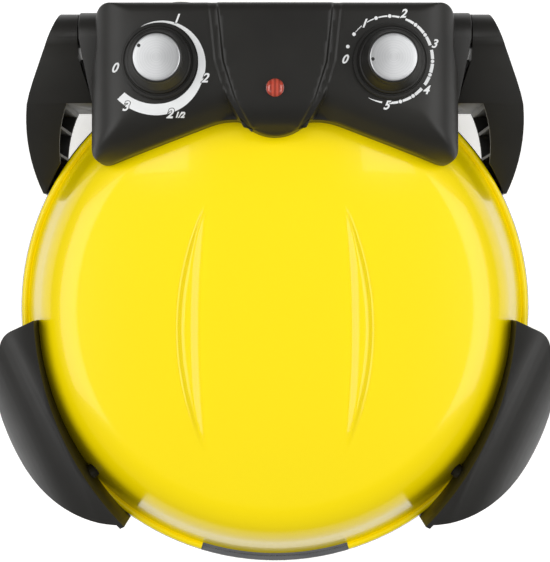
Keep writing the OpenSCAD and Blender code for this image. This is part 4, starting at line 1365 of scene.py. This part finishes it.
    def timer(self) -> list[bpy.types.Object]:
        """The dots with bars between them and their numbers.

        Returns:
            Their objects.
        """
        dots = TimerDots(self.shop, self.centre, self.z, self.ink_mm)
        parts = [dots.build()]
        r, (ox, oy) = dots.radius, dots.shift
        bands = []
        for k in range(2, dots.count):
            first, last = self.bars[k - 2:k]
            bands.append(("bar", [(dots.turn(k + 1) + self.bar_gap, r - last / 2, r + last / 2),
                                  (dots.turn(k) - self.bar_gap, r - first / 2, r + first / 2)]))
        bands.append(("tail", [(dots.turn(dots.count) + turn, r + low, r + high)
                               for turn, low, high in self.tail]))
        for name, stations in bands:
            points, faces = self.band(stations)
            parts.append(new_piece(name, [(x + ox, y + oy, z) for x, y, z in points], faces,
                                   self.shop.ink, 30))
        marks = [("0", -29.4, 1.2, 7.4), ("1", -17.3, 23.6, 7.4), ("2", 7.2, 29.7, 7.4),
                 ("3", 26.8, 11.2, 7.4), ("4", 21.4, -17.9, 7.4), ("5", -3.2, -27.4, 7.4)]
        return parts + self.numbers(marks)

    def build(self) -> None:
        """Builds the scale and its numbers as one piece."""
        parts = self.temperature() if self.dial is Dial.TEMPERATURE else self.timer()
        made = join(f"{self.dial.value}_scale", parts)
        self.drape(made)
        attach(made, "lid")


@dataclass
class TimerDots:
    """The timer's minute dots, set along an arc by Geometry Nodes; numbers stand at every third."""

    shop: Shop
    centre: tuple[float, float]
    z: float
    ink_mm: float
    shift: tuple[float, float] = (-1.2, 1.25)
    radius: float = 27.1
    first: float = 181.0
    step: float = -18.3
    count: int = 15
    dot_r: float = 1.15

    def turn(self, k: int) -> float:
        """Angle of a dot, in degrees."""
        return self.first + self.step * k

    def tree(self) -> tuple[bpy.types.NodeTree, dict[str, str]]:
        """Makes the tree that sets the dots.

        Returns:
            The tree, and each input's name with its identifier.
        """
        tree = bpy.data.node_groups.new("dial_dots", "GeometryNodeTree")
        face = tree.interface
        names = {}
        for name, kind in (("Count", "NodeSocketInt"), ("First", "NodeSocketFloat"),
                           ("Step", "NodeSocketFloat"), ("Radius", "NodeSocketFloat"),
                           ("Dot radius", "NodeSocketFloat"), ("Thickness", "NodeSocketFloat"),
                           ("Centre", "NodeSocketVector"), ("Ink", "NodeSocketMaterial")):
            names[name] = face.new_socket(name, in_out="INPUT", socket_type=kind).identifier
        face.new_socket("Geometry", in_out="OUTPUT", socket_type="NodeSocketGeometry")
        given = add(tree, "NodeGroupInput").outputs
        index = add(tree, "GeometryNodeInputIndex").outputs[0]
        turned = add(tree, "ShaderNodeMath", {0: index, 1: given["Step"], 2: given["First"]},
                     operation="MULTIPLY_ADD").outputs[0]
        turn = add(tree, "ShaderNodeMath", {0: turned}, operation="RADIANS").outputs[0]
        cos = add(tree, "ShaderNodeMath", {0: turn}, operation="COSINE").outputs[0]
        sin = add(tree, "ShaderNodeMath", {0: turn}, operation="SINE").outputs[0]
        unit = add(tree, "ShaderNodeCombineXYZ", {"X": cos, "Y": sin}).outputs[0]
        out = add(tree, "ShaderNodeVectorMath", {0: unit, "Scale": given["Radius"]},
                  operation="SCALE").outputs[0]
        spot = add(tree, "ShaderNodeVectorMath", {0: out, 1: given["Centre"]}, operation="ADD")
        points = add(tree, "GeometryNodePoints", {"Count": given["Count"],
                                                  "Position": spot.outputs[0]})
        third = add(tree, "ShaderNodeMath", {0: index, 1: 3.0}, operation="MODULO").outputs[0]
        between = add(tree, "ShaderNodeMath", {0: third, 1: 0.5},
                      operation="GREATER_THAN").outputs[0]
        dot = add(tree, "GeometryNodeMeshCylinder", {"Vertices": 20, "Radius": given["Dot radius"],
                                                     "Depth": given["Thickness"]})
        every = add(tree, "GeometryNodeInstanceOnPoints", {"Points": points.outputs[0],
                                                           "Selection": between,
                                                           "Instance": dot.outputs["Mesh"]})
        real = add(tree, "GeometryNodeRealizeInstances", {0: every.outputs[0]})
        inked = add(tree, "GeometryNodeSetMaterial", {"Geometry": real.outputs[0],
                                                      "Material": given["Ink"]})
        add(tree, "NodeGroupOutput", {0: inked.outputs[0]})
        return tree, names

    def build(self) -> bpy.types.Object:
        """Builds the dots.

        Returns:
            Their object, as a plain mesh.
        """
        tree, names = self.tree()
        made = put("timer_dots", bpy.data.meshes.new("timer_dots"))
        nodes = made.modifiers.new("dots", "NODES")
        nodes.node_group = tree
        cx, cy = self.centre[0] + self.shift[0], self.centre[1] + self.shift[1]
        values = {"Count": self.count, "First": self.first, "Step": self.step,
                  "Radius": self.radius * MM, "Dot radius": self.dot_r * MM,
                  "Thickness": self.ink_mm * MM,
                  "Centre": place([(cx, cy, self.z + self.ink_mm / 2)])[0], "Ink": self.shop.ink}
        for name, value in values.items():
            nodes[names[name]] = value
        return settle(made, 30)


# ------------------------------------------------------------------ knobs and lamp


@dataclass
class Knob:
    """A moulded grip with stepped rings and its spun aluminium cap with a painted dot."""

    shop: Shop
    dial: Dial
    centre: tuple[float, float]
    point: float
    skirt_r: float = 23.7
    cap_r: float = 14.7
    height: float = 20.0
    gap: float = 1.0
    shaft_r: float = 3.4
    crown: float = 0.25
    segments: int = 128
    dot_at: float = 12.8
    dot_r: float = 1.1

    def build(self) -> None:
        """Builds grip and cap in place of their CAD nodes."""
        low, top = OVEN.panel_z + self.gap, OVEN.panel_z + self.height
        r, c = self.skirt_r, self.cap_r
        grip = [(10.5, low), (r - 0.4, low), (r, low + 0.4), (r, low + 1.9), (r - 0.5, low + 2.4),
                (r - 1.9, low + 2.6), (r - 2.3, low + 2.2), (r - 2.8, low + 2.2),
                (r - 3.1, low + 2.8), (r - 3.3, low + 4.6), (r - 3.7, low + 5.1),
                (r - 4.3, low + 5.3), (r - 4.6, low + 6.0), (c + 2.1, top - 6.5),
                (c + 1.9, top - 6.1), (c + 1.9, top - 5.4), (c + 1.6, top - 5.0),
                (c + 1.3, top - 1.2), (c + 1.0, top - 0.6), (c + 0.5, top - 0.35),
                (c + 0.15, top - 0.5), (c + 0.1, top - 1.9), (self.shaft_r, top - 1.9),
                (self.shaft_r, low + 5)]
        made = new_piece(f"{self.dial.value}_grip", *lathe(grip, self.segments, self.centre),
                         self.shop.knob_plastic, 30)
        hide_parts(f"{self.dial.value}_knob_grip")
        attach(made, f"{self.dial.value}_knob")
        self.build_cap(top)

    def build_cap(self, top: float) -> None:
        """Builds the cap, gives it a map that runs round it, and paints its dot.

        Args:
            top: Height of the cap's rim.
        """
        c = self.cap_r
        spun = SpunAluminium(f"spun_{self.dial.value}_cap", "#dcdddd", 0.4, metallic=0.75,
                             centre=self.centre).build()
        face = [(r, top + self.crown * (1 - (r / c) ** 2))
                for r in (0.05, 2, 4, 6, 8, 10, 12, c - 0.9)]
        profile = face + [(c - 0.45, top - 0.12), (c - 0.1, top - 0.5), (c, top - 0.9),
                          (c, top - 1.9), (0.05, top - 1.9)]
        cap = new_piece("cap", *lathe(profile, self.segments, self.centre), spun, 30)
        layer = cap.data.uv_layers.new(name="turned")
        for loop in cap.data.loops:
            v = cap.data.vertices[loop.vertex_index].co
            x = v.x / MM - self.centre[0]
            y = v.y / MM - OVEN.oven_y - self.centre[1]
            layer.data[loop.index].uv = (math.atan2(y, x) / math.tau + 0.5, math.hypot(x, y) / c)
        self.mend_seam(cap.data, layer)
        t = math.radians(self.point)
        at = (self.centre[0] + self.dot_at * math.cos(t),
              self.centre[1] + self.dot_at * math.sin(t))
        dot = new_piece("dot", *lathe([(0.02, top - 0.2), (self.dot_r, top - 0.2),
                                       (self.dot_r, top + 0.1), (0.02, top + 0.12)], 24, at),
                        self.shop.dot, 30)
        dot.data.uv_layers.new(name="turned")
        made = join(f"{self.dial.value}_cap", [cap, dot])
        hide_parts(f"{self.dial.value}_knob_cap")
        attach(made, f"{self.dial.value}_knob")

    @staticmethod
    def mend_seam(mesh: bpy.types.Mesh, layer: bpy.types.MeshUVLoopLayer) -> None:
        """Keeps a face that crosses the map's seam from running all the way back.

        Args:
            mesh: The cap's mesh.
            layer: Its map, changed in place.
        """
        for face in mesh.polygons:
            us = [layer.data[i].uv[0] for i in face.loop_indices]
            if max(us) - min(us) > 0.5:
                for i in face.loop_indices:
                    if layer.data[i].uv[0] < 0.5:
                        layer.data[i].uv[0] += 1.0


@dataclass
class Lamp:
    """The red lens of the heating lamp, domed, with a thin collar."""

    shop: Shop
    radius: float = 5.3
    front: float = 39.0
    seat: float = 1.0
    dome_foot: float = 1.2
    dome_h: float = 2.1
    collar_w: float = 0.3
    pole_r: float = 0.02

    def build(self) -> None:
        """Builds the lens in place of its CAD node."""
        z = OVEN.panel_z + self.seat
        r = self.radius
        dome = [(max(r * math.sin(t), self.pole_r), z + self.dome_foot + self.dome_h * math.cos(t))
                for t in (math.radians(a) for a in range(0, 91, 9))]
        profile = dome + [(r + self.collar_w, z + 1.1), (r + self.collar_w, z + 0.1),
                          (self.pole_r, z + 0.1)]
        made = new_piece("lamp", *lathe(profile, 64, (0, OVEN.hinge_y - self.front)),
                         self.shop.lens, 30)
        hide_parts("lamp_lens")
        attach(made, "lid")


# ------------------------------------------------------------------ handles, arms and the rest


@dataclass
class Mouldings:
    """The black mouldings that keep their CAD form, with edges rounded as from a mould."""

    shop: Shop
    edge: float = 0.7
    edge_steps: int = 3
    merge: float = 0.002
    flat_deg: float = 0.8
    edge_deg: float = 28.0
    shade_deg: float = 40.0
    sides: tuple[str, ...] = ("left", "right")

    def moulded(self, node: str) -> bpy.types.Object:
        """Makes a piece from a copy of a CAD node, with its sharp edges rounded.

        Args:
            node: The CAD node.

        Returns:
            The piece as a plain mesh.
        """
        name = node.replace("hinge_", "") + "_moulded"
        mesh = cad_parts[node].data.copy()
        mesh.name = name
        bm = bmesh.new()
        bm.from_mesh(mesh)
        bmesh.ops.remove_doubles(bm, verts=bm.verts, dist=self.merge * MM)
        bmesh.ops.dissolve_limit(bm, angle_limit=math.radians(self.flat_deg), verts=bm.verts,
                                 edges=bm.edges)
        bm.to_mesh(mesh)
        bm.free()
        mesh.materials.clear()
        mesh.materials.append(self.shop.plastic)
        piece = put(name, mesh)
        bevel = piece.modifiers.new("edges", "BEVEL")
        bevel.width = self.edge * MM
        bevel.segments = self.edge_steps
        bevel.limit_method = "ANGLE"
        bevel.angle_limit = math.radians(self.edge_deg)
        bevel.miter_outer = "MITER_ARC"
        bevel.use_clamp_overlap = True
        bevel.harden_normals = False
        return settle(piece, self.shade_deg)

    def build(self) -> None:
        """Builds handles and arms."""
        for side in self.sides:
            for node, body in ((f"lid_handle_{side}", "lid"), (f"base_handle_{side}", "base"),
                               (f"hinge_arm_{side}", "base")):
                made = self.moulded(node)
                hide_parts(node)
                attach(made, body)


@dataclass
class Carried:
    """The CAD nodes that stay as they are and only get their finish."""

    shop: Shop
    finishes: dict[str, tuple[str, ...]] = field(default_factory=lambda: {
        "enamel": ("base_pan",),
        "bright": ("lower_reflector", "upper_reflector", "vent_strip", "stone_tabs", "timer_bell"),
        "stone": ("refractory_stone",),
        "tube": ("lower_element", "upper_element"),
        "steel": ("lower_element_clips", "upper_element_clips", "base_screws", "foot_screws",
                  "hinge_pin_left", "hinge_pin_right", "hinge_bushes", "lid_handle_screws",
                  "housing_screws", "dome_screws", "thermostat", "thermostat_nut", "timer",
                  "timer_nut", "temp_shaft", "timer_shaft"),
        "ceramic": ("lower_element_insulators", "upper_element_insulators"),
        "rubber": ("feet",),
        "white": ("terminal_block", "lamp_body"),
        "sheath": ("base_wiring", "lid_wiring"),
        "plastic": ("control_tray", "cord_gland"),
    })

    def build(self) -> None:
        """Gives each node its finish."""
        for finish, nodes in self.finishes.items():
            material = getattr(self.shop, finish)
            for name in nodes:
                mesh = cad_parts[name].data
                mesh.materials.clear()
                mesh.materials.append(material)


# ------------------------------------------------------------------ studio


@dataclass
class Studio:
    """Pale floor, soft light from both sides, and the photograph's camera straight above."""

    camera_z: float = 1.1
    camera_y: float = 0.0061
    lens: float = 97.88
    sensor: float = 36.0
    floor_half: float = 3.0
    floor_glow: float = 0.45
    sky: float = 0.2
    side_at: tuple[float, float, float] = (1.0, 0.03, 0.95)
    side_size: tuple[float, float] = (1.2, 0.85)
    side_power: float = 8.0
    top_at: tuple[float, float, float] = (0.0, -0.2, 2.2)
    top_size: tuple[float, float] = (2.2, 2.2)
    top_power: float = 22.0
    card_at: tuple[float, float, float] = (0.122, 0.165, 0.30)
    card_size: tuple[float, float] = (0.06, 0.07)
    card_power: float = 0.034

    def light(self, name: str, at: tuple[float, float, float], size: tuple[float, float],
              power: float, seen: bool = True) -> bpy.types.Object:
        """Adds a soft box that faces the oven.

        Args:
            name: The light's name.
            at: Where it hangs, in metres.
            size: Its width and height.
            power: Its power in watts.
            seen: Whether glossy surfaces mirror it.

        Returns:
            The light's object.
        """
        data = bpy.data.lights.new(name, "AREA")
        data.shape = "RECTANGLE"
        data.size, data.size_y = size
        data.energy = power
        holder = put(name, data)
        holder.location = at
        aim = Vector((0, 0, 0.1)) - Vector(at)
        holder.rotation_euler = aim.to_track_quat("-Z", "Y").to_euler()
        holder.visible_glossy = seen
        return holder

    def build(self) -> None:
        """Builds floor, lights, world and camera."""
        scene = bpy.context.scene
        scene.view_settings.view_transform = "Standard"
        scene.view_settings.look = "None"
        floor_mesh = bpy.data.meshes.new("floor")
        s = self.floor_half
        floor_mesh.from_pydata([(-s, -s, 0), (s, -s, 0), (s, s, 0), (-s, s, 0)], [],
                               [(0, 1, 2, 3)])
        pale = Finish("pale_floor", "#f4f4f4", 0.9).build()
        shader = pale.node_tree.nodes["Principled BSDF"]
        shader.inputs["Emission Color"].default_value = (1, 1, 1, 1)
        shader.inputs["Emission Strength"].default_value = self.floor_glow
        floor_mesh.materials.append(pale)
        floor = put("floor", floor_mesh)
        floor.visible_diffuse = False
        x, y, z = self.side_at
        for name, side in (("left_box", -1), ("right_box", 1)):
            self.light(name, (side * x, y, z), self.side_size, self.side_power)
        # A low card faces straight down beside each knob, and only the knob's cap mirrors it.
        x, y, z = self.card_at
        for side in (-1, 1):
            card = self.light("cap_card", (side * x, y, z), self.card_size, self.card_power)
            card.rotation_euler = (0.0, 0.0, 0.0)
        self.light("top_fill", self.top_at, self.top_size, self.top_power, seen=False)
        world = bpy.data.worlds.new("studio")
        world.use_nodes = True
        backdrop = world.node_tree.nodes["Background"]
        backdrop.inputs["Color"].default_value = (1, 1, 1, 1)
        backdrop.inputs["Strength"].default_value = self.sky
        scene.world = world
        camera = bpy.data.cameras.new("camera")
        camera.lens = self.lens
        camera.sensor_width = self.sensor
        camera.sensor_fit = "AUTO"
        camera.clip_start = 0.01
        holder = put("camera", camera)
        holder.location = (0.0, self.camera_y, self.camera_z)
        scene.camera = holder


def main() -> None:
    """Builds every piece in order and reports each."""
    logging.basicConfig(level=logging.INFO, format="%(name)s: %(message)s")
    shop = Shop()
    temp, timer = (-OVEN.knob_x, OVEN.knob_y), (OVEN.knob_x, OVEN.knob_y)
    housing = ControlHousing(shop)
    pieces = [
        ("carried nodes", Carried(shop)),
        ("dome", LidDome(shop)),
        ("housing", housing),
        ("mouldings", Mouldings(shop)),
        ("temperature knob", Knob(shop, Dial.TEMPERATURE, temp, OVEN.temp_point)),
        ("timer knob", Knob(shop, Dial.TIMER, timer, OVEN.timer_point)),
        ("temperature print", DialPrint(shop, Dial.TEMPERATURE, housing, temp)),
        ("timer print", DialPrint(shop, Dial.TIMER, housing, timer)),
        ("lamp", Lamp(shop)),
        ("studio", Studio()),
    ]
    for name, maker in pieces:
        maker.build()
        log.info("built %s", name)


if __name__ == "__main__":
    main()
